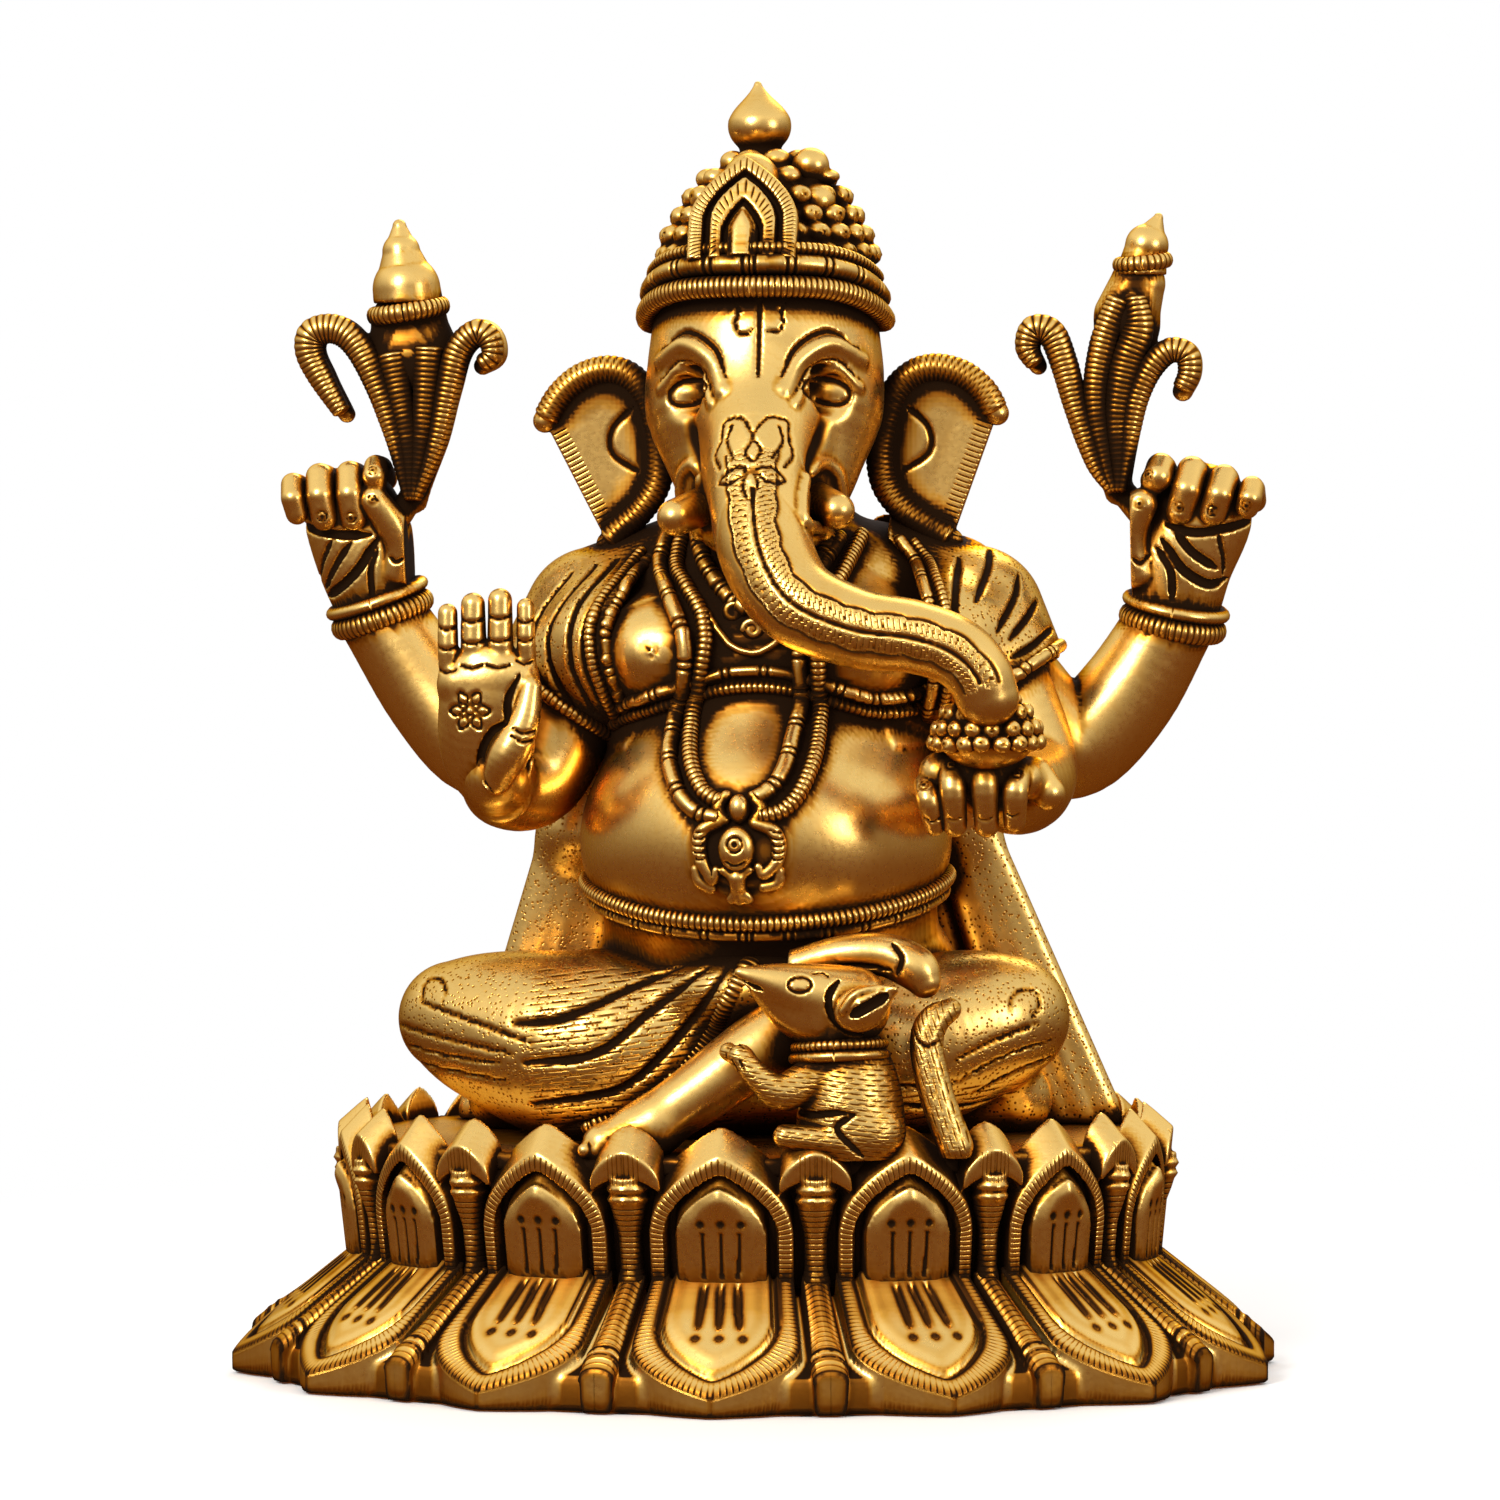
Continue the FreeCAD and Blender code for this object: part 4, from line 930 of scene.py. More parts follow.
def band(path, out, width, height, pattern=ribbed, lift=0.0, slant=0.0, closed=False, taper=1.5):
    """Cord with an oval section whose flat side lies against what out points away from."""
    path = resample(path, 0.3)
    if callable(out):
        out = out(path)
    else:
        out = np.broadcast_to(np.array(out, float), path.shape)
    run = np.gradient(path, axis=0)
    if closed:
        run[0] = run[-1] = path[1] - path[-2]
    run /= np.linalg.norm(run, axis=1, keepdims=True)
    side = np.cross(run, out)
    side /= np.linalg.norm(side, axis=1, keepdims=True)
    out = np.cross(side, run)
    along = np.arange(len(path)) * 0.3
    ring = np.linspace(0, 2 * math.pi, RING_POINTS, endpoint=False)
    across = np.cos(ring)[None, :] * width / 2
    rise = np.sin(ring)[None, :] * height / 2
    size = pattern(along[:, None] + slant * across)
    # The cuts between ribs are darkened: patina in them and painted shade.
    recess_dark = (1 - size) / max(float((1 - size).max()), 1e-3) * 0.85 * (size.min() < 0.99)
    if not closed:
        end = np.minimum(along, along[::-1])
        size = size * np.sqrt(np.clip(1 - (1 - np.clip(end / taper, 0, 1)) ** 2, 0.0004, 1))[:, None]
    points = (path[:, None] + side[:, None] * (across * size)[..., None]
              + out[:, None] * (rise * size + lift)[..., None])
    count = len(ring)
    rows = np.arange(len(path) - (0 if closed else 1))
    after = (rows + 1) % len(path)
    here = np.arange(count)
    there = (here + 1) % count
    quads = np.stack([
        rows[:, None] * count + here, rows[:, None] * count + there,
        after[:, None] * count + there, after[:, None] * count + here,
    ], axis=-1).reshape(-1, 4)
    if not closed:
        strip = np.arange(count // 2 - 1)
        lid = np.stack([strip, strip + 1, count - 2 - strip, count - 1 - strip], axis=-1)
        quads = np.vstack([quads, lid[:, ::-1], lid + (len(path) - 1) * count])
    return points.reshape(-1, 3), quads[:, ::-1], recess_dark.ravel()


def add_bands(name, parts):
    """One ribbed piece from several bands."""
    starts = np.cumsum([0] + [len(points) for points, _, _ in parts])
    points = np.vstack([points for points, _, _ in parts])
    quads = np.vstack([quads + start for (_, quads, _), start in zip(parts, starts)])
    piece = add_piece(name, points, quads, "ribbed")
    store(piece, "recess_patina_and_shade", np.concatenate([recess_dark for _, _, recess_dark in parts]))
    return piece


def ring_path(centre, radii, tilt_x, tilt_y):
    """A tilted oval ring."""
    angle = np.radians(np.linspace(0, 360, 90))
    flat = np.column_stack([radii[0] * np.sin(angle), -radii[1] * np.cos(angle), np.zeros(len(angle))])
    return flat @ turned(tilt_x, tilt_y).T + np.array(centre)


# ---------------------------------------------------------------- body


def make_torso():
    """Belly, hips, breasts, shoulders and neck."""
    clay = Clay((-62, -52, 55), (74, 46, 226), 0.85)
    clay.ball((4, -3, 126), (44, 41, 35))
    clay.ball((5, 4, 92), (43, 34, 28), blend=10)
    clay.ball((6, 3, 165), (42, 26, 30), blend=14)
    clay.rod([(-36, 13, 180, 14), (5, 13, 186, 16), (46, 13, 182, 14)], blend=12)
    clay.rod([(4, 8, 184, 19), (4, 6, 203, 17), (4.5, 4, 222, 15)], blend=8)
    for x in (-18.5, 27.5):
        clay.ball((x, -13, 170.5), (15.5, 13, 12), blend=6)
    for x in (-20.5, 28.2):
        clay.ring_dot((x, -27, 171.5), 1.9, 0.8)
    clay.engrave([(-4, 118), (4, 116.2), (12, 118)], 0.9, 0.5)
    return clay


def torso(clay):
    """The torso's own piece."""
    add_clay("torso", clay)


def leg_cloth():
    """Both folded thighs under the waist cloth."""
    clay = Clay((-92, -66, 55), (86, 34, 106), 0.7)
    clay.rod(curve([(2, -6, 80, 23), (-34, -14, 77, 23.5), (-58, -11, 81, 18.5), (-70, -8, 83.5, 13.5)]))
    clay.rod(curve([(8, -6, 80, 22), (34, -13, 78, 21), (52, -10, 82, 18), (61.5, -7, 84, 14.5)]), blend=6)
    clay.ball((4, -24, 92), (22, 16, 10), blend=6)
    clay.rod([(-60, 4, 64, 9), (-20, 8, 62, 12), (40, 8, 62, 12), (62, 4, 64, 9)], blend=6)
    folds = [
        [(-12, 98), (-26, 92), (-40, 86), (-52, 84.5)],
        [(-6, 98), (-19, 88), (-32, 78), (-49, 75.5)],
        [(-1, 98), (-11, 84), (-26, 70), (-48, 65.5)],
        [(3, 97), (-5, 82), (-20, 66), (-40, 60)],
    ]
    for fold in folds:
        clay.engrave(fold, 1.7, 1.3, blend=1.0)
    lines = [
        [(-77, 88.5), (-62, 84.5), (-47, 80)],
        [(-83, 82.5), (-68, 80), (-52, 77.5)],
        [(-83, 78), (-68, 76), (-54, 75)],
        [(-79, 73.5), (-64, 72), (-54, 71)],
        [(70, 84), (60, 80.5), (50, 75.5)],
        [(72, 79.5), (62, 76.5), (52, 71.5)],
        [(73, 75.5), (64, 72.5), (54, 67.5)],
    ]
    for line in lines:
        clay.engrave(line, 1.0, 0.7)
    for centre, spin in (((-73, 90.5), 1), ((66.5, 88.5), -1)):
        angle = np.radians(np.linspace(-150, 130, 16))
        hook = np.column_stack([centre[0] + spin * 3.2 * np.sin(angle), centre[1] + 3.2 * np.cos(angle)])
        clay.groove(clay.front(hook[:, 0], hook[:, 1]), 0.9, 0.6)
    clay.engrave([(36, 66), (50, 64.5), (62, 66)], 1.6, 1.0)
    clay.engrave([(34, 71), (44, 70), (52, 71)], 1.2, 0.8)
    return clay


def legs(clay):
    """Both folded legs with dashes in the cloth, and the ribbed hem."""
    clay.trim_below(DECK_TOP + 0.1)
    piece = add_clay("folded_legs", clay, "chased", ("right_thigh", "left_thigh"))
    points = clay.mesh()[0]
    x, z = points[:, 0], points[:, 2]
    between = step_up(x, -50, 5) * (1 - step_up(x, -4, 3)) * (z < 97) * (points[:, 1] < -8)
    under = (x > 36) * (x < 66) * (z < 70) * (points[:, 1] < -8)
    row, dash = dashes(x + 0.2 * z, z - 0.12 * x, 1.45, 7.0)
    chase(piece, row, dash * np.clip(0.9 * between + 0.8 * under, 0, 1))
    hem_line = curve([(4.5, 99.5), (-2, 88), (-10, 76), (-22, 66), (-36, 59)], 12)
    hem = clay.front(hem_line[:, 0], hem_line[:, 1])
    add_bands("dhoti_hem", [band(hem, clay.outward, 5.2, 3.4, lambda s: cuts(s, 1.3, 0.32, 0.22))])


def left_shin():
    """The bare shin and foot that lie in front."""
    clay = Clay((-42, -66, 54), (30, -22, 96), 0.55)
    clay.rod(curve([(20, -36, 88, 8.5), (6, -42, 79, 8.3), (-8, -47, 69, 7.2), (-19, -50, 61.5, 6.6)]))
    clay.rod([(-17, -50, 62, 6.5), (-28, -53, 58.5, 5.0)], blend=3)
    for number in range(4):
        x = -31 + 3.0 * number
        clay.rod([(x + 2, -52 - 0.5 * number, 60, 1.9), (x - 1, -56.5, 57.5, 1.7)], blend=0.5)
    add_clay("left_shin", clay)


# ---------------------------------------------------------------- head


SKULL_TOP = 257.0
# Lines of the face: how far out from each eye's middle, and the height.
BROW = [(-9.5, 231.5), (-6.5, 238.5), (0.5, 242.4), (7, 238.5)]
EYELID = [(-7.0, 228.5), (-4.2, 234.6), (1.5, 236.6), (6.5, 232)]
CHEEK = [(-1.0, 224), (-3.2, 214), (-2.2, 207)]
UPPER_LIP = [(-3.6, 212.5), (-1.2, 214.5), (1.6, 211.8), (2.4, 206)]
LOWER_LIP = [(-4.2, 211), (-4.0, 203), (-0.5, 197.5)]
TUSKS = {
    "right": ((-7, -25, 205), (-13, -33, 202.3)),
    "left": ((18.5, -25, 206), (24.5, -32.5, 203.6)),
}


def make_head():
    """Skull, brow, cheeks and trunk in one casting."""
    clay = Clay((-32, -70, 150), (72, 30, 262), 0.55)
    clay.ball((4.5, 1, 232), (27, 26, 28))
    clay.rod([(4.5, 0, 238, 26.2), (4.5, 0, 245, 26.6)], blend=4)
    clay.shape(lambda x, y, z: SKULL_TOP - z, cut=True)
    clay.ball((4.8, -8, 236), (24.5, 20.5, 20), blend=8)
    clay.rod(curve([(5, -13, 226, 16), (5.6, -20, 212, 14.5), (6, -22, 203, 12.5)]), blend=8)
    clay.rod(curve([(-9, -8, 226, 13), (-6.5, -13, 211, 9.0), (-3, -17, 202, 7)]), blend=6)
    clay.rod(curve([(18.5, -8, 226, 13), (17, -13, 211, 9.5), (13.5, -17, 202, 7)]), blend=6)
    trunk = curve([
        (5.6, -21, 228, 10.5), (6.3, -29, 219, 11.8), (7.2, -38, 206.5, 11.2), (9.9, -46, 194, 10.6),
        (17.2, -52, 183.3, 9.9), (31, -55, 177.2, 9.0), (44.5, -56.5, 175.2, 8.2), (53.8, -57.5, 172, 7.8),
        (59.2, -58, 167, 7.4), (61.4, -57.5, 161.5, 7.0)], 10)
    clay.rod(trunk, blend=7)
    for side, x in ((-1, -11.5), (1, 22.0)):
        eye_x = x - side * 0.4
        socket = clay.front([eye_x - side * 1.0], [231.8])[0]
        clay.ball(socket + (0, 2.2, 0), (8.2, 3.4, 5.6), turned(0, side * 14, 0), blend=3.0, cut=True)
        brow = [(x + side * a, z) for a, z in BROW]
        clay.emboss(brow, 1.9, sink=0.6, blend=1.2)
        clay.engrave([(a - side * 0.8, b + 2.9) for a, b in brow], 1.3, 0.8)
        lid = [(x + side * a, z) for a, z in EYELID]
        clay.emboss(lid, 1.25, sink=0.3, blend=0.8)
        clay.engrave([(a, b + 2.0) for a, b in lid], 0.9, 0.6)
        ball = clay.front([eye_x], [231.2])[0]
        clay.ball(ball + (0, 1.6, 0), (4.6, 2.2, 2.7), turned(0, side * 12, 0), blend=0.5)
        clay.engrave_oval((eye_x, 231.2), (4.8, 2.9), 30, 1.2, 0.8, skew=side * 0.18)
        clay.engrave([(x + side * a, z) for a, z in CHEEK], 3.0, 1.0, blend=2.5)
        clay.emboss([(x + side * a, z) for a, z in UPPER_LIP], 1.5, sink=0.2, blend=1.0)
        clay.emboss([(x + side * a, z) for a, z in LOWER_LIP], 1.6, blend=1.0)
    return clay, trunk


def forehead_mark(clay):
    """Plain engraved trident."""
    clay.engrave([(6.2, 252), (6.3, 243), (6.4, 235)], 1.0, 0.8, ends=1.0)
    clay.engrave([(0.2, 252.3), (1.4, 250), (0.6, 247.5), (1.5, 245), (3.6, 244.6), (5, 245.7)], 0.8, 0.7)
    clay.engrave([(12.2, 252.3), (11.2, 250), (11.8, 247.5), (11, 245.4), (9, 245), (7.4, 245.6)], 0.8, 0.7)


def trunk_chasing(clay, trunk):
    """A lotus at the root, then a midline; the hatched, scalloped leaf on each side is added by head()."""
    lotus = [
        [(0.5, 219), (1.0, 222.2), (4, 223), (6.3, 219.5), (5.2, 216.5), (6.6, 214.8), (8, 217), (6.4, 219.6),
         (8.8, 223), (12, 222.4), (12.6, 219)],
        [(0.4, 218.6), (-0.6, 215.5), (0.6, 213.4)], [(12.5, 218.8), (13.4, 215.8), (12.2, 213.6)],
        [(2.4, 221.5), (1.6, 218.5), (3.0, 215.2)], [(10.8, 221.4), (11.6, 218.4), (10, 215.4)],
        [(5.8, 213.2), (3.2, 213.4), (0.4, 210.6), (3.4, 210.8), (5.8, 213.2)],
        [(7.0, 213.4), (10, 213.4), (12.4, 211), (9.6, 210.8), (7.0, 213.4)],
        [(6.4, 213.4), (5.0, 210.5), (6.4, 207.5), (7.8, 210.5), (6.4, 213.4)],
    ]
    for line in lotus:
        line = [(6.4 + 1.3 * (x - 6.4), 215.5 + 1.2 * (z - 215)) for x, z in line]
        clay.engrave(line, 0.9, 0.6, ends=1.0, smooth=6)
    spine = trunk[18:-6]
    middle = clay.front(spine[:, 0], spine[:, 2])
    clay.groove(middle, 1.0, 0.7, ends=1.0)


def trunk_frame(points, trunk):
    """Where points lie on the trunk: distance along it and signed distance across its front."""
    line = resample(trunk[14:, :3], 0.8)
    run = np.gradient(line, axis=0)
    run /= np.linalg.norm(run, axis=1, keepdims=True)
    nearest = np.empty(len(points), int)
    for start in range(0, len(points), 20000):
        block = points[start:start + 20000, None] - line[None]
        nearest[start:start + 20000] = np.argmin(np.einsum("ijk,ijk->ij", block, block), axis=1)
    away = points - line[nearest]
    side = np.cross(run[nearest], (0, -1.0, 0))
    side /= np.linalg.norm(side, axis=1, keepdims=True)
    return nearest * 0.8, np.einsum("ij,ij->i", away, side), away[:, 1], nearest


def head():
    """Head with trunk and its hatching, then the tusks."""
    clay, trunk = make_head()
    forehead_mark(clay)
    trunk_chasing(clay, trunk)
    piece = add_clay("head_and_trunk", clay, "polished", ("head", "trunk"))
    points = clay.mesh()[0]
    along, across, depth, nearest = trunk_frame(points, trunk)
    scallop = 5.6 * (1 - 0.004 * along) + 0.55 * np.abs(np.sin(along * math.pi / 7.5))
    reach = np.abs(across)
    inside = step_up(reach, 0.9, 0.5) * (1 - step_up(reach, scallop - 0.8, 0.5))
    on_front = (depth < -1.0) * (nearest > 4) * (nearest < nearest.max() - 3)
    mask = inside * on_front
    edge_line = np.exp(-((reach - scallop) / 0.5) ** 2) * on_front
    phase = np.where(mask > edge_line, along / 1.25 + reach * 0.18, 0.25)
    chase(piece, phase, np.clip(np.maximum(mask * 0.85, edge_line * 1.2), 0, 1))
    for side, (root, tip) in TUSKS.items():
        tusk = Clay(np.array(tip) - 12, np.array(tip) + 12, 0.5)
        tusk.rod([(*root, 4.6), (*tip, 4.3)])
        add_clay(f"{side}_tusk", tusk)


def ear(side, low_x, high_x, rim, arc):
    """Fan-shaped flap with a thick ribbed rim along its top, inner side and bottom."""
    clay = Clay((low_x, -6, 188), (high_x, 18, 248), 0.55)
    start = np.array(rim[0])
    stop = np.array(rim[-1])
    outline = curve(rim, 6)
    edge = np.insert(outline, 1, 6.0, axis=1)
    centre = outline.mean(0)

    def flap(x, y, z):
        """The ear's plate, slightly cupped."""
        inside = np.full(np.broadcast(x, z).shape, 1e3)
        for a, b in zip(outline, np.roll(outline, -1, axis=0)):
            run = b - a
            length = np.linalg.norm(run)
            if length < 1e-6:
                continue
            normal = np.array([run[1], -run[0]]) / length
            if (centre - a) @ normal < 0:
                normal = -normal
            inside = np.minimum(inside, (x - a[0]) * normal[0] + (z - a[1]) * normal[1])
        cup = 2.0 * np.clip(inside, 0, 9) / 9
        return np.maximum(-inside, np.abs(y - 6.8 - 0.18 * cup) - 2.0)

    clay.shape(flap)
    rows = np.column_stack([edge, np.full(len(edge), 2.9)])
    clay.rod(rows, blend=0.3)
    clay.engrave(arc, 1.2, 0.9)
    piece = add_clay(f"{side}_ear", clay)
    points = clay.mesh()[0]
    run = (stop - start) / np.linalg.norm(stop - start)
    away = points[:, [0, 2]] - start
    along = away @ run
    across = np.abs(away @ np.array([-run[1], run[0]]))
    border = (1 - step_up(across, 3.4, 0.6)) * (along > 2) * (points[:, 1] < 6.0)
    chase(piece, along / 1.25, np.clip(border, 0, 1))
    path = np.column_stack([edge[:, 0], edge[:, 1] - 0.5, edge[:, 2]])
    ribs = band(path, (0, -1, 0), 6.6, 7.6, lambda s: cuts(s, 1.35, 0.26, 0.07), slant=0.3)
    add_bands(f"{side}_ear_rim", [ribs])


def ears():
    """Both ears: the rim from its outer end round to its lower end, and a curved line."""
    ear("right", -62, -14,
        [(-49.4, 225), (-45.8, 231), (-40.6, 235.4), (-34, 237.2), (-28.2, 235.2), (-24.0, 229.5),
         (-21.6, 219), (-22.3, 210), (-26.3, 203.6), (-31, 199.2), (-34.4, 195.6)],
        [(-27.5, 228.5), (-33.0, 223), (-33.0, 217), (-26.5, 212.6)])
    ear("left", 22, 68,
        [(58.6, 226), (55.4, 231.5), (50.2, 235.6), (43.6, 237.0), (37.8, 235), (33.4, 229.5),
         (30.8, 219), (31.6, 210), (36.0, 203.6), (41.6, 199.4), (47.6, 196)],
        [(36.5, 228.5), (42.2, 223), (42.4, 217), (36.2, 212.6)])


# ---------------------------------------------------------------- crown


# Rows of lumps on the dome: height, radius of the row, number of lumps.
LOCK_ROWS = (
    (264, 24.6, 26), (268.5, 23.4, 24), (273, 21.2, 20), (277.5, 18.4, 17), (282, 14.6, 13), (286, 9.0, 8))
# Bands of the crown: height of the back, radius, rise towards the front, width, pattern.
CROWN_BANDS = (
    (248.0, 28.2, 7.6, 5.2, ribbed), (253.2, 27.2, 7.6, 4.8, segmented), (257.8, 25.6, 6.6, 3.4, ribbed))
CROWN_X = 4.6
CROWN_Y = -1.5


def crown_band(low, radius, rise, width, pattern):
    """One band round the crown, lower in front than behind."""
    angle = np.radians(np.linspace(0, 360, 200))
    ring = np.column_stack([
        CROWN_X + radius * np.sin(angle), CROWN_Y - radius * 0.99 * np.cos(angle),
        low + rise * step_up(np.cos(angle), -0.2, 1.2)])

    def out(path):
        """Outwards and a little up."""
        return np.column_stack([path[:, 0] - CROWN_X, path[:, 1] - CROWN_Y, np.full(len(path), 3.0)])

    return band(ring, out, width, 5.0, pattern, closed=True)


def crown():
    """Dome with scrolls, two bands, a pointed plaque, knobs and a finial."""
    dome = Clay((-28, -34, 240), (38, 36, 294), 0.55)
    dome.ball((4.5, 4, 258), (25.5, 24, 20))
    dome.ball((4.5, 5, 270), (19, 18, 18), blend=5)
    dome.rod([(2.4, -17, 268, 8.0), (2.4, -10, 281, 6.5)], blend=3)
    rng = np.random.default_rng(7)
    for level, (height, radius, count) in enumerate(LOCK_ROWS):
        for number in range(count):
            angle = 2 * math.pi * (number + 0.5 * (level % 2)) / count
            out = np.array([math.sin(angle), -math.cos(angle), 0.0])
            spot = np.array([4.5 + radius * out[0], 4.5 + radius * 0.95 * out[1], height])
            lump = 2.9 + 0.5 * rng.random()
            spot = spot - 0.7 * (out + (0, 0, 0.3))
            dome.ball(spot, (lump, lump, lump * 0.82), blend=0.9)
            if level < 4:
                dome.ring_dot(spot + (out + (0, 0, 0.1)) * lump, 1.2, 0.6)
    add_clay("crown_dome", dome)
    add_bands("crown_lower_band", [crown_band(*CROWN_BANDS[0])])
    add_bands("crown_upper_band", [crown_band(*sizes) for sizes in CROWN_BANDS[1:]])
    crown_plaque()
    finial = Clay((-8, -4, 280), (13, 18, 307), 0.45)
    finial.ball((2.5, 7, 294), (7.3, 7.3, 6.2))
    finial.rod([(2.4, 7, 296, 5.4), (2.1, 7.2, 304, 1.0)], blend=4)
    finial.rod([(2.6, 7, 289.5, 4.6), (2.8, 7, 284, 6.0)], blend=1.2)
    add_clay("crown_finial", finial)
    knobs = Clay((6, -16, 268), (28, 12, 294), 0.45)
    for place in ((15.7, -3, 284.5), (17.5, -6, 276)):
        knobs.ball(place, (4.4, 4.4, 4.2))
        knobs.ball(np.array(place) + (1.5, 2.0, -2.6), (5.2, 4.6, 2.2), blend=0.8)
    add_clay("crown_knobs", knobs)


def crown_plaque():
    """Pointed arch: ribbed border, dark groove, fan with rays, and a small teardrop."""
    lean = turned(-24)
    foot = np.array([2.2, -27.5, 264.0])
    clay = Clay((-14, -6, -2), (14, 6, 26), 0.45)

    def plate(x, y, z):
        """The plaque's relief."""
        inset = leaf_inset(x, z, *PLAQUE_ARCH)
        ridge = step_up(inset, 0.0, 0.8) * 0.6
        groove = step_up(inset, 3.3, 0.5) * (1 - step_up(inset, 4.7, 0.6)) * 2.2
        fan = step_up(inset, 4.7, 0.8) * 0.4
        inner = leaf_inset(x, z, *PLAQUE_DROP)
        cut = step_up(inner, 0.0, 0.4) * (1 - step_up(inner, 1.1, 0.4)) * 2.0
        drop = step_up(inner, 1.6, 1.8) * 1.5
        return np.maximum(np.maximum((-(ridge - groove + fan - cut + drop) - y) * 0.85, -inset), y - 3.5)

    clay.shape(plate)
    points, quads = clay.mesh()
    inset = leaf_inset(points[:, 0], points[:, 2], *PLAQUE_ARCH)
    inner = leaf_inset(points[:, 0], points[:, 2], *PLAQUE_DROP)
    angle = np.arctan2(points[:, 0], points[:, 2] - 4)
    border = step_up(inset, 0.3, 0.3) * (1 - step_up(inset, 3.1, 0.4))
    rays = step_up(inset, 5.4, 0.4) * (1 - step_up(inner, -1.4, 0.5))
    piece = add_piece("crown_plaque", points @ lean.T + foot, quads, "ribbed", ("crown_plaque",))
    phase = np.where(border > rays, angle * 15 / 1.2, angle * 6.2)
    chase(piece, phase, np.clip(border + rays, 0, 1) * (points[:, 1] < 1))
    # Painted shade: the channel inside the border and the ring round the teardrop are darkened, together with
    # their patina.
    channel = step_up(inset, 3.3, 0.4) * (1 - step_up(inset, 4.6, 0.4))
    ring = step_up(inner, 0.0, 0.3) * (1 - step_up(inner, 1.0, 0.3))
    store(piece, "recess_patina_and_shade", np.clip(channel + ring, 0, 1) * (points[:, 1] < 2.6))


# ---------------------------------------------------------------- arms and hands


def limb_piece(name, rows):
    """A round limb through (x, y, z, radius) rows."""
    rows = curve(rows, 6)
    low = rows[:, :3].min(0) - rows[:, 3].max() - 2
    high = rows[:, :3].max(0) + rows[:, 3].max() + 2
    clay = Clay(low, high, 0.8)
    clay.rod(rows)
    add_clay(name, clay)


# The four arms from shoulder to wrist: x, y, z and radius.
LIMBS = {
    "right_raised_arm": [
        (-36, 15, 176, 14), (-57, 20, 152, 14), (-68, 22, 147, 12.6), (-80, 24, 159, 12.0),
        (-92, 24, 177, 10.6)],
    "left_raised_arm": [
        (48, 15, 176, 14), (66, 20, 152, 14), (76, 22, 147, 12.6), (88, 24, 159, 12.0),
        (98.5, 24, 176, 10.6)],
    "blessing_arm": [
        (-38, 3, 172, 14.5), (-45, -1, 156, 14), (-51, -6, 142, 12.8), (-56, -16, 139, 10),
        (-57, -25, 142, 8.5)],
    "sweet_arm": [
        (50, 3, 172, 15), (59, 0, 156, 14.5), (65, -5, 142, 13), (64, -20, 139, 11), (60.5, -33, 141, 9.0)],
}


def arms():
    """Two raised arms behind and two in front."""
    for name, rows in LIMBS.items():
        limb_piece(name, rows)


# Each finger: x of its top and of its end, the heights of both, and its radius.
RIGHT_FIST = {
    "fingers": [
        (-112.7, -111.3, 213.0, 203.2, 2.9), (-106.1, -104.6, 215.3, 202.2, 3.4),
        (-98.7, -97.4, 215.8, 202.0, 3.4), (-92.3, -92.0, 217.2, 210.5, 2.9)],
    "dots": [(-104.6, 202.4), (-97.6, 202.0), (-92.2, 213.6)],
    "thumb": [(-92.2, 206.2, 3.6), (-88.4, 200.5, 3.9), (-86.4, 195, 3.9), (-87.5, 189, 4.2)],
    "thumb_dot": (-92.2, 206.4),
    "palm": [(-93.2, 184, 11.6), (-95.5, 192, 12.6), (-99.0, 202, 12.0), (-100.5, 204.5, 9.0)],
    "creases": [
        ([(-102.8, 197), (-105.5, 192), (-107.5, 187)], 1.5),
        ([(-98, 196.2), (-101.5, 191.6), (-105.6, 185.0)], 1.8),
        ([(-91.6, 197), (-95.9, 190.3), (-100.2, 186), (-104.9, 183)], 2.4),
        ([(-91.6, 195), (-93.3, 189.5), (-93.1, 182.6)], 1.6),
        ([(-88.6, 192.6), (-87, 191.4), (-84.6, 192.4)], 1.2),
        ([(-112, 200.4), (-105.3, 198.6), (-99.3, 197.9), (-93.3, 198)], 2.2)],
    "bracelet": ((-92.9, 24, 180.0), 18.4),
}
LEFT_FIST = {
    "fingers": [
        (96.6, 95.2, 216.4, 209.8, 3.5), (104.0, 101.2, 215.6, 202.6, 3.6),
        (111.6, 109.0, 213.6, 202.2, 3.4), (118.2, 117.2, 210.8, 203.4, 2.9)],
    "dots": [(93.9, 211.4), (101.2, 203.4), (109.0, 202.6), (117.1, 203.8)],
    "thumb": [(92.2, 204.4, 3.8), (89.6, 198.5, 4.0), (89.6, 193, 4.0), (91, 188, 4.4)],
    "thumb_dot": (91.9, 204.4),
    "palm": [(99.2, 182, 11.6), (101, 191, 12.6), (105.5, 201, 12.4), (106.5, 203, 9.4)],
    "creases": [
        ([(96.8, 196), (101.8, 188.9), (107.9, 185.2), (112.0, 186.4)], 2.4),
        ([(100.0, 198), (104.1, 192.9), (109.8, 189.0)], 2.2),
        ([(110.2, 198), (111.4, 191.2), (111.2, 187.4)], 1.4),
        ([(95.6, 194), (98.9, 188.5), (99.4, 181.6)], 2.0),
        ([(89.6, 191.8), (92.0, 190.2), (94.0, 192.4)], 1.2),
        ([(98, 199.4), (104, 197.6), (110, 198), (118, 200)], 2.2)],
    "bracelet": ((99.2, 24, 177.2), -12.0),
}


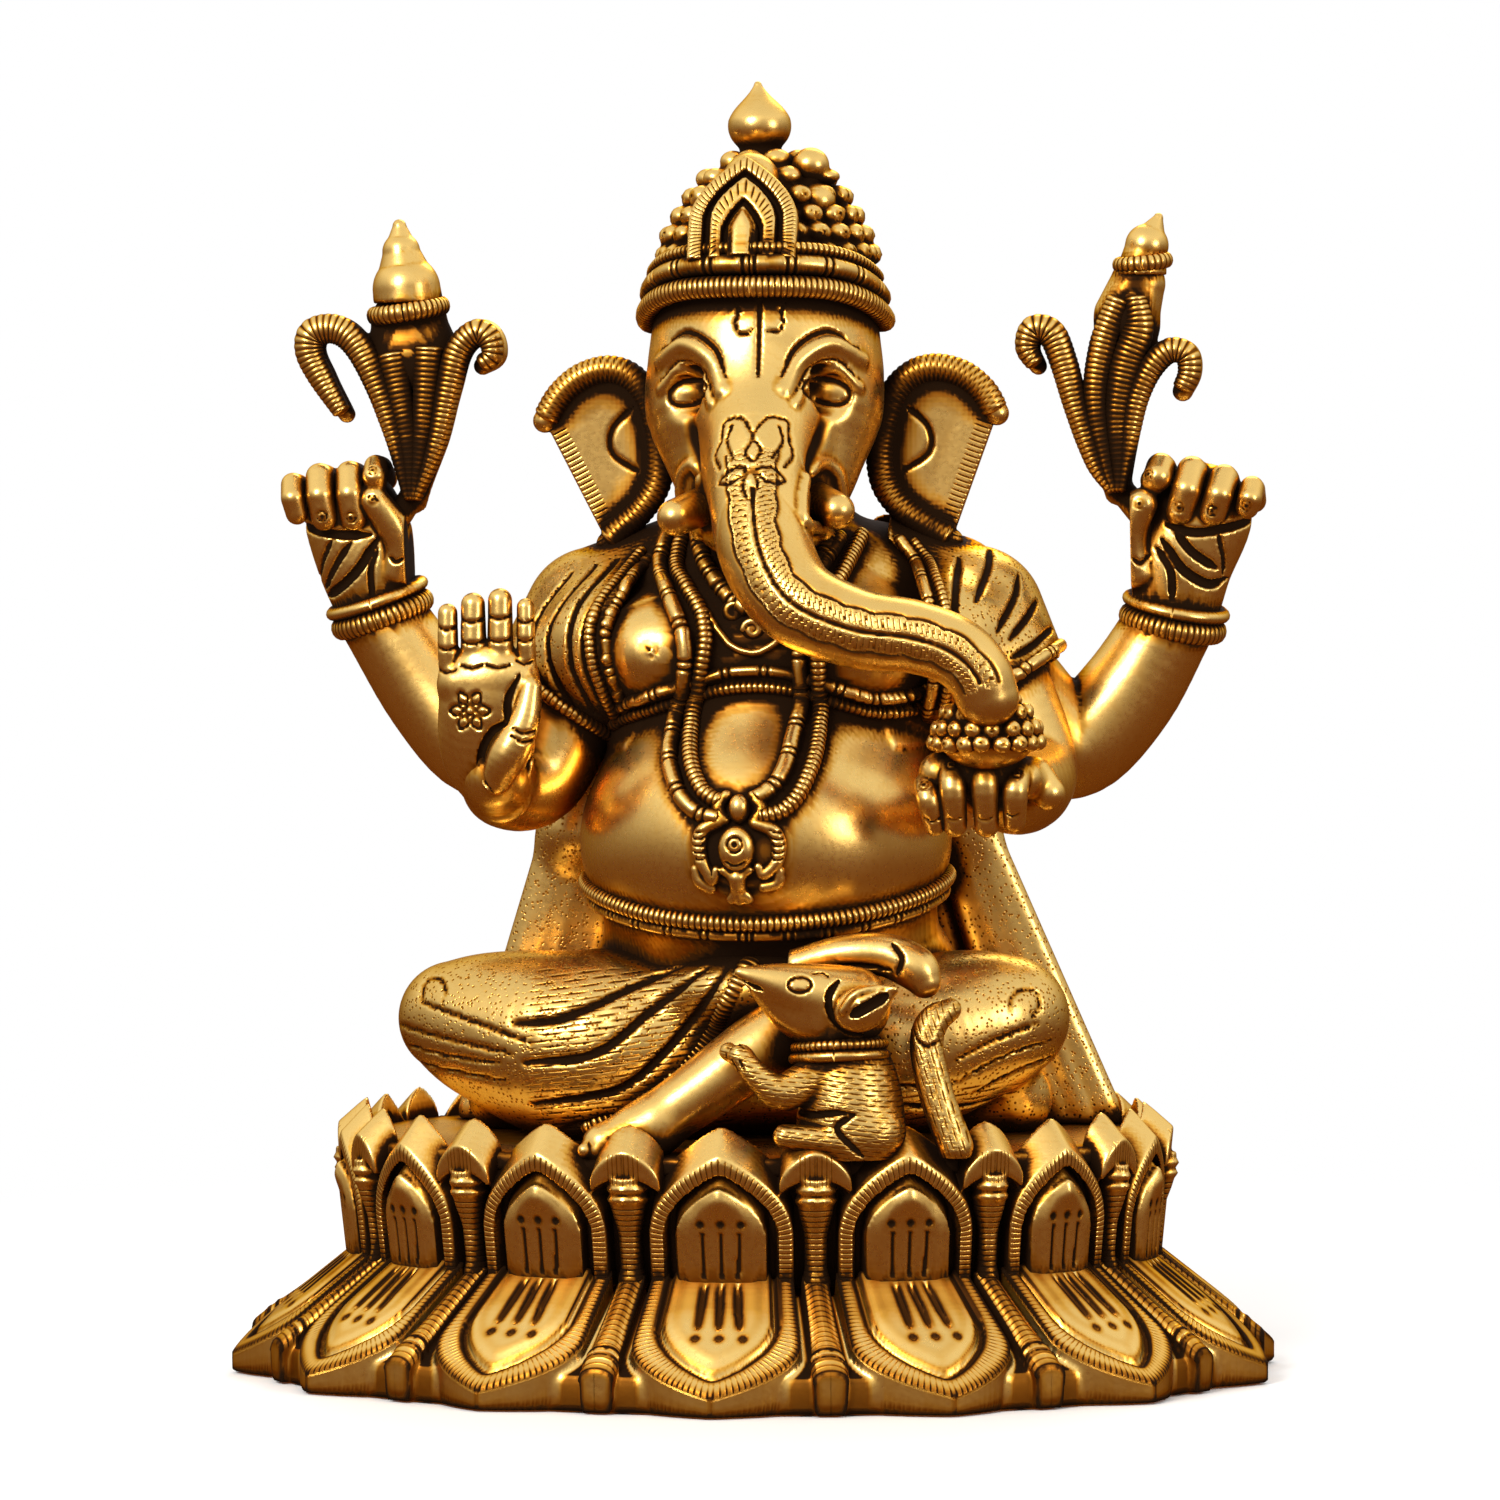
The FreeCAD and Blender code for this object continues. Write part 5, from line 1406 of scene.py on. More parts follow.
def fist(side, data):
    """A closed hand seen from its palm, with folded fingers, ring marks and a bracelet."""
    xs = [finger[0] for finger in data["fingers"]]
    clay = Clay((min(xs) - 7, 6, 174), (max(xs) + 7, 38, 224), 0.45)
    palm = [(x, 22.5, z, radius) for x, z, radius in data["palm"]]
    clay.rod(curve(palm, 6), flat=((0, 1, 0), 0.72))
    for top_x, low_x, top, low, radius in data["fingers"]:
        reach = (top - low) / 3
        bend_x = 0.6 * top_x + 0.4 * low_x
        knuckle = top - radius
        clay.rod([
            (top_x, 29, top - 6, radius), (top_x, 23, knuckle - 0.4, radius), (top_x, 16.5, knuckle, radius),
            (bend_x, 13.4, knuckle - reach, radius), (low_x, 14.2, low, radius * 0.95)], blend=0.5)
    thumb = [(x, 13.6 + 1.3 * number, z, radius) for number, (x, z, radius) in enumerate(data["thumb"])]
    clay.rod(curve(thumb, 6), blend=0.8)
    for line, width in data["creases"]:
        clay.engrave(line, width, width * 0.62)
    for x, z in data["dots"] + [data["thumb_dot"]]:
        spot = clay.front([x], [z])[0]
        clay.ring_dot(spot, 1.25, 0.65)
    add_clay(f"{side}_raised_fist", clay)
    centre, lean = data["bracelet"]
    parts = []
    for level, width, pattern in ((-1.5, 5.2, ribbed), (2.6, 3.4, plain)):
        tilt = turned(0, -lean, 0)
        middle = np.array(centre) + tilt @ np.array((0, 0, level))
        path = ring_path(middle, (11.0, 10.2), 8, -lean)
        parts.append(band(path, away_from(middle), width, 4.2, pattern, closed=True))
    add_bands(f"{side}_bracelet", parts)


def rosette(clay, centre, radius):
    """Plain six-petal flower in place of any letter or sign."""
    clay.engrave_oval(centre, (1.1, 1.1), 19, 0.8, 0.6)
    for number in range(6):
        turn = number * math.pi / 3
        middle = 0.62 * radius
        half = 0.26 * radius
        petal = [(1.6, 0), (middle, half), (radius, 0), (middle, -half), (1.6, 0)]
        spots = [(centre[0] + a * math.cos(turn) - b * math.sin(turn),
                  centre[1] + a * math.sin(turn) + b * math.cos(turn)) for a, b in petal]
        clay.engrave(spots, 0.8, 0.6, ends=1.0, smooth=5)


def blessing_hand():
    """Open hand, palm forwards, fingers up."""
    clay = Clay((-74, -40, 128), (-40, -12, 190), 0.45)
    palm = [(-56, -23, 138, 7.5), (-58.5, -27, 148, 11.0), (-58.0, -29.5, 158, 11.6), (-57.6, -30, 163, 11.0)]
    clay.rod(curve(palm, 6), flat=((0, 1, 0), 0.5))
    clay.rod([(-65.4, -30, 164, 4), (-50, -30, 165, 4)], blend=2)
    fingers = (
        (-67.0, 166, 180.2, 2.45), (-61.0, 167, 182.2, 3.0), (-54.6, 167, 183.2, 3.0),
        (-48.6, 168, 181.6, 2.2))
    for x, low, top, radius in fingers:
        clay.rod([
            (x + 0.2, -30.0, low - 3, radius), (x, -31.0, low + 7, radius),
            (x - 0.1, -30.4, top, radius * 0.94)], blend=0.5)
    for x, low, top, radius in fingers:
        for share in (0.05, 0.42, 0.75):
            height = low + share * (top - low)
            edge = radius * 0.9
            crease = [(x - edge, height + 0.4), (x, height - 0.3), (x + edge, height + 0.4)]
            clay.engrave(crease, 0.75, 0.5, ends=1.0, smooth=4)
    thumb = [
        (-55.5, -32.5, 141.5, 3.6), (-52.5, -34.0, 147.5, 4.6), (-48.8, -33.5, 155, 3.7),
        (-47.2, -32.5, 163, 2.5)]
    clay.rod(curve(thumb, 6), blend=0.8)
    long_crease = [
        (-49.6, 166), (-52.4, 160), (-52.6, 155), (-56.3, 152.6), (-59, 147.4), (-58.6, 142), (-56.2, 138.6)]
    clay.engrave(long_crease, 1.9, 1.3)
    clay.engrave([(-46.8, 149), (-49.4, 142.8), (-54, 138.2), (-60, 137.6)], 1.5, 1.0)
    for height in (151.0, 153.0):
        clay.engrave([(-51, height + 0.8), (-48.4, height - 0.6), (-45.6, height)], 0.8, 0.6, smooth=4)
    rosette(clay, (-61.4, 157.6), 4.9)
    add_clay("blessing_hand", clay)


def sweet_hand():
    """Hand under the sweets, its fingers curled down in front."""
    clay = Clay((38, -56, 120), (80, -24, 156), 0.45)
    clay.rod([(61, -33, 141, 9.5), (60, -40, 143.5, 8.5)], flat=((0, 0, 1), 0.8))
    clay.rod([(49, -42, 143.5, 4.8), (60, -43, 145.5, 5.0), (68, -41, 142, 4.6)], blend=2)
    fingers = ((45.8, 48.0, 140.8, 131.4, 2.7), (52.2, 52.8, 145.4, 131.6, 3.2),
               (59.8, 60.0, 147.4, 131.6, 3.3), (67.2, 66.4, 143.4, 132.6, 3.0))
    for top_x, low_x, top, low, radius in fingers:
        middle = (0.5 * (top_x + low_x), -47.5, 0.5 * (top + low) + 1.5, radius)
        finger = [(top_x, -43.5, top, radius), middle, (low_x, -45.5, low, radius * 0.86)]
        clay.rod(curve(finger, 5), blend=0.4)
    for top_x, low_x, top, low, radius in fingers:
        clay.ring_dot(clay.front([top_x], [top + 0.4])[0], 1.35, 0.65)
        height = low + 2.2
        clay.engrave([(low_x - 1.8, height), (low_x, height - 1), (low_x + 1.8, height)], 0.6, 0.45, smooth=4)
    clay.rod([(70, -36, 142, 5.0), (73.5, -37, 138.5, 4.0)], blend=2)
    add_clay("sweet_hand", clay)


def sweets():
    """A heap of small balls with ring marks."""
    clay = Clay((42, -66, 142), (80, -28, 172), 0.45)
    clay.ball((60.5, -48, 153), (11.5, 11, 8.5))
    rng = np.random.default_rng(3)
    levels = ((150.8, 11.8, 17), (154.2, 11.2, 16), (157.6, 9.2, 13), (160.6, 6.0, 9))
    for level, (height, radius, count) in enumerate(levels):
        for number in range(count):
            angle = 2 * math.pi * (number + 0.5 * (level % 2)) / count
            out = np.array([math.sin(angle), -math.cos(angle), 0.0])
            spot = np.array([60.4 + radius * out[0], -48.5 + radius * 0.95 * out[1], height])
            spot = spot + rng.uniform(-0.3, 0.3, 3)
            clay.ball(spot, 2.05, blend=0.3)
            clay.ring_dot(spot + 2.0 * (out + (0, 0, 0.2)), 0.9, 0.5)
    add_clay("sweets", clay)


# ---------------------------------------------------------------- shawl, belts and necklaces


def cape(side, mirror, span, centre_x, inner, lower, folds, bands):
    """Pleated shawl over one shoulder with corded edges."""
    clay = Clay((span[0], -30, 140), (span[1], 36, 202), 0.55)
    out = 1.9
    clay.rod([
        (centre_x - mirror * 22, 10, 189, 12 + out), (centre_x, 10, 177.5, 15.5 + out),
        (centre_x + mirror * 5, 4, 166, 15.5 + out), (centre_x + mirror * 9, 0, 154, 14.0 + out)], blend=3)
    clay.ball((centre_x - mirror * 8, -3, 171), (18 + out, 17 + out, 19), blend=4)
    (ax, az), (bx, bz) = lower
    slope = np.array([bz - az, ax - bx]) / math.hypot(bx - ax, bz - az)
    if slope[1] > 0:
        slope = -slope
    clay.shape(lambda x, y, z: -((x - ax) * slope[0] + (z - az) * slope[1]) * 0.9, cut=True)
    edge = curve(inner, 8)

    def opening(x, y, z):
        """The open front between the two capes, which closes behind the shoulder."""
        limit = np.interp(z, edge[::-1, 1], edge[::-1, 0])
        return -((limit - x) * mirror) + np.clip(y - 12, 0, 40) * 1.2

    clay.shape(opening, cut=True)
    for fold in folds:
        clay.engrave(fold, 1.5, 1.1, blend=0.8)
    add_clay(f"{side}_cape", clay, "chased")
    parts = []
    for marks, width, pattern in bands:
        path = clay.along(marks)
        parts.append(band(path, clay.outward, width, 3.0, pattern, lift=0.4))
    add_bands(f"{side}_cape_edges", parts)


def capes():
    """Both sides of the shawl."""
    cape(
        "right", -1, (-62, -10), -38,
        inner=[(-21, 197), (-26, 188), (-30.5, 180), (-31.5, 172), (-29.5, 163), (-26, 155), (-24, 148)],
        lower=[(-54, 163.5), (-31, 148)],
        folds=[
            [(-31, 192), (-39, 180), (-40, 168), (-35, 156)],
            [(-36, 191), (-45, 178), (-45.5, 168), (-40, 157)],
            [(-42, 189), (-49.5, 178), (-50.5, 168), (-45, 160)],
            [(-28, 190), (-35, 179), (-36, 168), (-31, 155)]],
        bands=[
            ([(-21.5, 196), (-27, 187), (-31.2, 178), (-31.4, 170), (-29, 161), (-26.5, 155)],
             3.0, segmented),
            ([(-24.5, 194.5), (-30.5, 186), (-34.3, 177.5), (-34.3, 169), (-31.6, 160), (-29, 153)],
             2.8, ribbed),
            ([(-53, 165.0), (-44, 158.6), (-36, 153.2), (-31, 149.4)], 3.0, ribbed),
            ([(-53, 161.6), (-44, 155.2), (-36, 149.8), (-31, 146.2)], 2.6, segmented)])
    cape(
        "left", 1, (18, 80), 52,
        inner=[(33, 197), (40, 189), (43.5, 180), (44.5, 172), (44, 163), (42, 155), (40, 148)],
        lower=[(73.5, 170.5), (47, 154)],
        folds=[
            [(56.8, 194), (57, 190), (55.2, 182)],
            [(63.9, 188), (63.5, 183), (60.2, 175)],
            [(68.2, 181.8), (66.4, 178), (62.8, 173)],
            [(50, 192), (50.5, 184), (50, 174)],
            [(72.5, 176), (68, 171.5), (64, 169)]],
        bands=[
            ([(35, 197), (41, 189.5), (45, 180), (46, 171), (45.5, 163), (43.5, 156)], 3.0, segmented),
            ([(38.5, 196), (44.5, 189), (48.4, 180), (49.2, 171), (48.7, 163), (47, 157)], 2.6, ribbed),
            ([(74.6, 172.0), (68, 167.6), (62, 163.8), (56, 160)], 3.2, segmented),
            ([(74.4, 168.0), (68, 163.6), (62, 159.8), (56, 156)], 3.2, ribbed)])


DRAPES = {
    "right": {
        "space": ((-80, 8, 54), (-20, 38, 160)), "top": (-45, 24, 128), "foot": (-62, 24, 58),
        "inner_folds": ((-38, -47), (-32, -38))},
    "left": {
        "space": ((24, 8, 54), (98, 38, 160)), "top": (47.5, 22, 130), "foot": (74.5, 22, 57.5),
        "inner_folds": ((42, 60), (38, 50), (35, 42))},
}
DRAPE_WIDTH = 10.5


def drapes():
    """Cloth that hangs behind the figure on both sides."""
    for side, drape in DRAPES.items():
        clay = Clay(*drape["space"], 0.7)
        top_x, top_y, top_z = drape["top"]
        foot_x, foot_y, foot_z = drape["foot"]
        for offset, radius in ((-0.75, 5.0), (-0.25, 5.6), (0.3, 5.4), (0.8, 4.2)):
            shift = offset * DRAPE_WIDTH
            above = (top_x + shift * 0.55, top_y, top_z, radius * 0.8)
            below = (foot_x + shift, foot_y, foot_z, radius)
            clay.rod([above, below], blend=1.0, flat=((0, 1, 0), 0.75))
        for near_top, near_foot in drape["inner_folds"]:
            clay.rod([(near_top, 26, 136, 4.6), (near_foot, 25, 60, 6.4)], blend=1.2, flat=((0, 1, 0), 0.7))
        clay.rod([(top_x, 24, 126, 9.5), (0.86 * top_x, 25, 150, 7.5)], blend=3, flat=((0, 1, 0), 0.7))
        clay.trim_below(DECK_TOP)
        add_clay(f"{side}_back_drape", clay, "chased")


def around(clay, centre, radii, marks):
    """A closed ring on the clay whose heights follow (degrees from the front, height) marks."""
    angle = np.linspace(0, 360, 181)
    marks = np.array(marks)
    height = np.interp(angle, marks[:, 0], marks[:, 1])
    height = np.convolve(np.r_[height[-8:-1], height, height[1:8]], np.ones(15) / 15, "valid")
    turn = np.radians(angle)
    ring = np.column_stack([centre[0] + radii[0] * np.sin(turn), centre[1] - radii[1] * np.cos(turn), height])
    return clay.snap(clay.snap(ring))


def belts(clay):
    """Two bands round the waist, the upper one ribbed like a cord."""
    upper = [
        (0, 108.0), (30, 109.4), (60, 113.5), (90, 118), (180, 119), (270, 117.5), (300, 114), (330, 109.6),
        (360, 108.0)]
    lower = [
        (0, 104.0), (30, 105.6), (60, 109.6), (90, 114), (180, 115), (270, 113.2), (300, 109.8), (330, 105.8),
        (360, 104.0)]
    for name, marks, width, height, pattern in (
            ("upper_belt", upper, 4.0, 4.2, lambda s: cuts(s, 1.5, 0.32, 0.18)),
            ("lower_belt", lower, 3.1, 4.0, segmented)):
        path = around(clay, (4, -1), (41, 38), marks)
        add_bands(name, [band(path, clay.outward, width, height, pattern, lift=0.4, closed=True)])


def chest_bands(clay):
    """Two bands below the breasts."""
    front = [
        (-31, 156.5), (-25, 159.5), (-14.5, 163), (-4.3, 165.6), (3, 166.4), (10.5, 166.0), (19, 164),
        (25, 162.2), (31.4, 160.4), (38, 160.4), (44, 162)]
    for name, drop, height, pattern, lift in (
            ("upper_chest_band", 0.0, 4.0, segmented, 0.3), ("lower_chest_band", 3.7, 3.6, ribbed, 0.2)):
        path = clay.along([(x, z - drop) for x, z in front])
        add_bands(name, [band(path, clay.outward, 2.9, height, pattern, lift=lift)])


NECKLACES = {
    "outer": [
        (segmented, [
            (-18.5, 198), (-19.8, 190), (-16, 182), (-12.6, 174.5), (-12.1, 168), (-12.9, 162), (-14, 154.3),
            (-14.6, 147), (-13, 141.5), (-10.6, 137.2), (-6.4, 133.8), (-1.5, 132.9)]),
        (ribbed, [
            (27, 197), (23.5, 188), (20.6, 180), (19.8, 171.4), (19.5, 162), (19.3, 152.3), (18.6, 145),
            (15.8, 138), (12, 134.3), (7, 133.2)])],
    "inner": [
        (ribbed, [
            (-14.5, 198), (-15.4, 190), (-12.3, 185), (-8.6, 179), (-7.6, 173), (-8.6, 166), (-9.6, 158),
            (-10.0, 150.4), (-8.8, 144), (-5.6, 138.6), (-1.4, 136.2)]),
        (segmented, [
            (22, 197), (18, 188), (15.4, 180), (15.1, 173), (15.1, 166), (15.0, 159), (13.8, 151.2),
            (12.6, 144.5), (10.2, 139.8), (6.4, 137)])],
}


def necklaces(clay):
    """Two long necklaces that meet at the pendant, and a short one with scrolls under the trunk."""
    for (name, halves), height in zip(NECKLACES.items(), (4.6, 4.0)):
        parts = [
            band(clay.along(marks, 6), clay.outward, 3.9, height, pattern, lift=0.9, taper=0.8)
            for pattern, marks in halves]
        add_bands(f"long_necklace_{name}", parts)
    collar = [
        (-10.5, 199), (-9.6, 194), (-7.6, 189.5), (-4, 185), (0, 181.6), (5, 180), (10, 181.6), (15, 186),
        (18.5, 192), (19.5, 198)]
    chain = [(-8, 180.5), (-5.5, 176.8), (-2, 172.8), (2.3, 170.6), (6.5, 171), (10.5, 174), (12.5, 179)]

    def beads(along):
        """Beads shorter than those of the long necklaces."""
        return cuts(along, 5.0, 0.4, 0.3, pair=1.6)

    add_bands("short_necklace", [
        band(clay.along(collar, 6), clay.outward, 4.3, 4.0, beads, lift=0.8),
        band(clay.along(chain, 6), clay.outward, 1.9, 2.4, plain, lift=0.5)])
    scroll = Clay((-8, -40, 166), (18, -8, 190), 0.4)
    steps = 22
    spin = np.linspace(0, 2 * math.pi, steps)
    radius = np.linspace(2.3, 0.9, steps)
    for x, z, turns in ((-1.0, 180.0, 1), (3.8, 176.0, -1), (8.4, 179.5, 1)):
        base = clay.front([x], [z])[0]
        depth = np.full(steps, base[1] - 0.8)
        path = np.column_stack([x + turns * radius * np.cos(spin), depth, z + radius * np.sin(spin)])
        scroll.rod(np.column_stack([path, np.full(steps, 0.75)]), blend=0.3)
        scroll.ball(base, (2.9, 1.3, 2.9), blend=0.3)
    add_clay("necklace_scrolls", scroll)


# Rods of the pendant: their (x, z) marks and their radii from end to end.
PENDANT_RODS = [
    ([(-0.8, 121.2), (2.1, 119.8), (5.0, 121.2)], (1.1, 1.5, 1.1)),
    ([(2.2, 119.5), (2.5, 116.5), (2.7, 114.6)], (2.2, 1.9, 1.6)),
    ([(1.8, 116), (0.8, 114.6)], (1.4, 1.3)),
    ([(3.4, 116), (4.6, 114.6)], (1.4, 1.3)),
    ([(-2.0, 132.2), (-5.4, 130.6), (-6.6, 127.2), (-5.8, 122.8), (-3.6, 119.2), (-2.6, 121.2)],
     (1.6, 1.8, 1.8, 1.6, 1.5, 1.1)),
    ([(-7.4, 121.4), (-6.6, 118.6), (-4.0, 116.8)], (1.2, 1.6, 1.4)),
    ([(6.6, 131.8), (10.2, 130.4), (11.8, 127.2), (11.2, 123), (8.4, 120.4), (7.2, 122)],
     (1.6, 1.8, 1.8, 1.6, 1.5, 1.1)),
    ([(12.0, 121), (11.2, 118.2), (8.2, 117.6)], (1.2, 1.6, 1.4)),
]


def pendant(clay):
    """Knot, drop with a ring mark, curled leaves and a tassel."""
    piece = Clay((-12, -60, 108), (18, -36, 142), 0.4)

    def lay(marks, radii):
        """A rod of changing radius on the belly."""
        path = clay.along(marks, 6) + np.array((0, -0.8, 0))
        piece.rod(np.column_stack([path, spread(radii, len(path))]), blend=0.5)

    def depth(x, z):
        """The belly's surface there."""
        return clay.front([x], [z])[0][1]

    lay([(-0.4, 138.2), (-2.2, 135.4), (-0.6, 132.6)], (1.3, 1.6, 1.2))
    lay([(5.8, 138.0), (7.8, 135.2), (6.0, 132.2)], (1.3, 1.6, 1.2))
    piece.ball((2.7, depth(2.7, 135.3) - 1.4, 135.3), (2.5, 2.4, 3.4), blend=0.4)
    piece.ball((2.2, depth(2.2, 126.3) - 0.9, 126.2), (4.3, 2.6, 5.4), blend=0.3)
    piece.ring_dot(piece.front([2.0], [127.2])[0], 1.9, 0.8)
    piece.engrave([(-0.6, 123.4), (2.1, 122.2), (4.8, 123.4)], 0.8, 0.6)
    for marks, radii in PENDANT_RODS:
        lay(marks, radii)
    for x in (2.6 - 9.2, 2.6 + 9.2):
        for z in (130.2, 128.6, 127.0, 125.4, 123.8):
            piece.engrave([(x - 1.8, z + 0.2), (x, z - 0.3), (x + 1.8, z + 0.2)], 0.55, 0.45, smooth=4)
    add_clay("pendant", piece)


# ---------------------------------------------------------------- attributes


BUNDLES = {
    "right": {
        "space": ((-116, 12, 200), (-56, 34, 262)),
        "leaves": [
            ([(-84.4, 206), (-87.3, 220), (-91.7, 233.5), (-96.9, 243.6), (-102, 247.4), (-107.6, 246.6),
              (-108.6, 242), (-105.4, 235.3), (-100.4, 227.0)], (2.0, 3.6, 4.6, 5.2, 5.6, 5.6, 5.0, 3.4)),
            ([(-83.8, 206), (-84.4, 220), (-86.6, 232), (-88.6, 242.2)], (2.0, 3.8, 4.8, 5.6)),
            ([(-83.4, 206), (-81.4, 220), (-80.2, 232), (-79.4, 243.6)], (2.0, 3.8, 4.8, 5.8)),
            ([(-83.0, 206), (-77.6, 220), (-75.0, 231.6), (-72.2, 242.0), (-67.8, 246.4), (-64.6, 244.8),
              (-64.0, 240.8), (-67, 238.4)], (2.0, 3.4, 4.6, 5.0, 5.2, 4.8, 3.6))],
        "core": [
            (0.4, [(-83.8, 23, 206, 3.0), (-83.6, 23, 222, 7.0), (-84, 23, 240, 11.0)]),
            (0.6, [(-84.2, 22, 242.0, 11.0), (-84.8, 22, 248.5, 9.4)])],
        "grip": [(-84.0, 22, 208, 3.0), (-87.0, 20, 203, 3.2)],
        "collar": ((-85.0, 22, 251.8), 8.4, -8, 4.6, 3.6),
        "tip": [
            (-85.0, 22, 253.6, 8.4), (-85.4, 22, 257, 8.2), (-86.6, 22, 266, 4.6), (-87.0, 22, 272.2, 1.7)],
    },
    "left": {
        "space": ((58, 12, 200), (112, 34, 266)),
        "leaves": [
            ([(85.2, 207), (81.0, 214), (76.6, 227.3), (73.6, 238), (70.6, 245.0), (66.4, 246.0),
              (64.8, 241.6), (67.2, 237.2)], (2.0, 3.6, 4.4, 4.8, 5.2, 5.4, 4.8, 3.4)),
            ([(85.8, 207), (83.6, 214), (81.2, 229.4), (83.0, 242.3), (87.0, 253.6)],
             (2.0, 3.8, 4.8, 5.2, 4.4)),
            ([(86.4, 207), (86.6, 214), (86.2, 226), (88.6, 238), (91.4, 246), (90.6, 254.0)],
             (2.0, 3.8, 4.8, 6.0, 6.0, 4.0)),
            ([(87.2, 207), (88.8, 218.7), (91.0, 229.4), (94.5, 236.7), (98.8, 240.6), (102.8, 239.6),
              (103.4, 235.3), (101.6, 231.0)], (2.0, 3.4, 4.2, 4.6, 4.8, 4.6, 4.0))],
        "core": [
            (0.55, [(85.8, 23, 207, 3.0), (85.6, 23, 224, 5.6), (88.5, 23, 246, 7.6)]),
            (0.8, [(88.4, 22, 249, 7.9), (91, 22, 256.6, 6.6)])],
        "grip": [(86.5, 22, 208, 3.0), (91.5, 20, 202.5, 3.4)],
        "collar": ((92.2, 22, 261.6), 5.6, -6, 4.0, 3.4),
        "tip": [
            (91.8, 22, 258.6, 6.2), (92.8, 22, 264.6, 5.0), (93.2, 22, 265.6, 5.2), (96.0, 22, 272.2, 1.2)],
    },
}
STRAND_Y = 17.6
STRAND_DEPTH = 5.0


def leaf(marks, widths):
    """One ribbed strand of a bundle: widths say how broad it is from root to tip."""
    path = resample(curve([(x, STRAND_Y, z) for x, z in marks], 8), 0.3)
    points, quads, recess_dark = band(path, (0, -1, 0), 1.3, 1.3, lambda s: cuts(s, 1.25, 0.26, 0.045), taper=1.0)
    rings = points.reshape(-1, RING_POINTS, 3)
    centre = rings.mean(1, keepdims=True)
    size = spread(spread(widths, len(path)), len(rings))[:, None, None]
    deep = np.array((0, 1, 0.0))
    away = rings - centre
    rings = centre + away * size + deep * (away @ deep)[..., None] * (STRAND_DEPTH - size)
    return rings.reshape(-1, 3), quads, recess_dark


def attributes():
    """A flared bundle of leaves with a collar and a pointed tip over each raised fist."""
    for side, bundle in BUNDLES.items():
        clay = Clay(*bundle["space"], 0.55)
        for marks, widths in bundle["leaves"]:
            path = curve([(x, 22.5, z) for x, z in marks], 8)
            clay.rod(np.column_stack([path, spread(widths, len(path)) * 0.62]), blend=0.8)
        for thin, rows in bundle["core"]:
            clay.rod(rows, blend=1, flat=((0, 1, 0), thin))
        clay.rod(bundle["grip"], blend=1)
        add_clay(f"{side}_leaf_bundle", clay, "ribbed")
        add_bands(f"{side}_leaf_strands", [leaf(marks, widths) for marks, widths in bundle["leaves"]])
    for side, bundle in BUNDLES.items():
        centre, radius, lean, width, height = bundle["collar"]
        ring = ring_path(centre, (radius, radius), 4, lean)
        add_bands(f"{side}_leaf_collar", [band(ring, away_from(centre), width, height, closed=True)])
    for side, bundle in BUNDLES.items():
        rows = np.array(bundle["tip"])
        tip = Clay(rows[:, :3].min(0) - 11, rows[:, :3].max(0) + 11, 0.5)
        tip.rod(rows)
        tip.trim_below(rows[0, 2])
        add_clay(f"{side}_cone_tip", tip)


# ---------------------------------------------------------------- mouse and sash


def fur_piece(piece, clay, along, across, pitch, length):
    """Short engraved hairs over a whole piece; along and across are directions in x and z."""
    points = clay.mesh()[0]
    flat = points[:, [0, 2]]
    row, dash = dashes(flat @ np.array(along), flat @ np.array(across), pitch, length)
    chase(piece, row, 0.8 * dash)


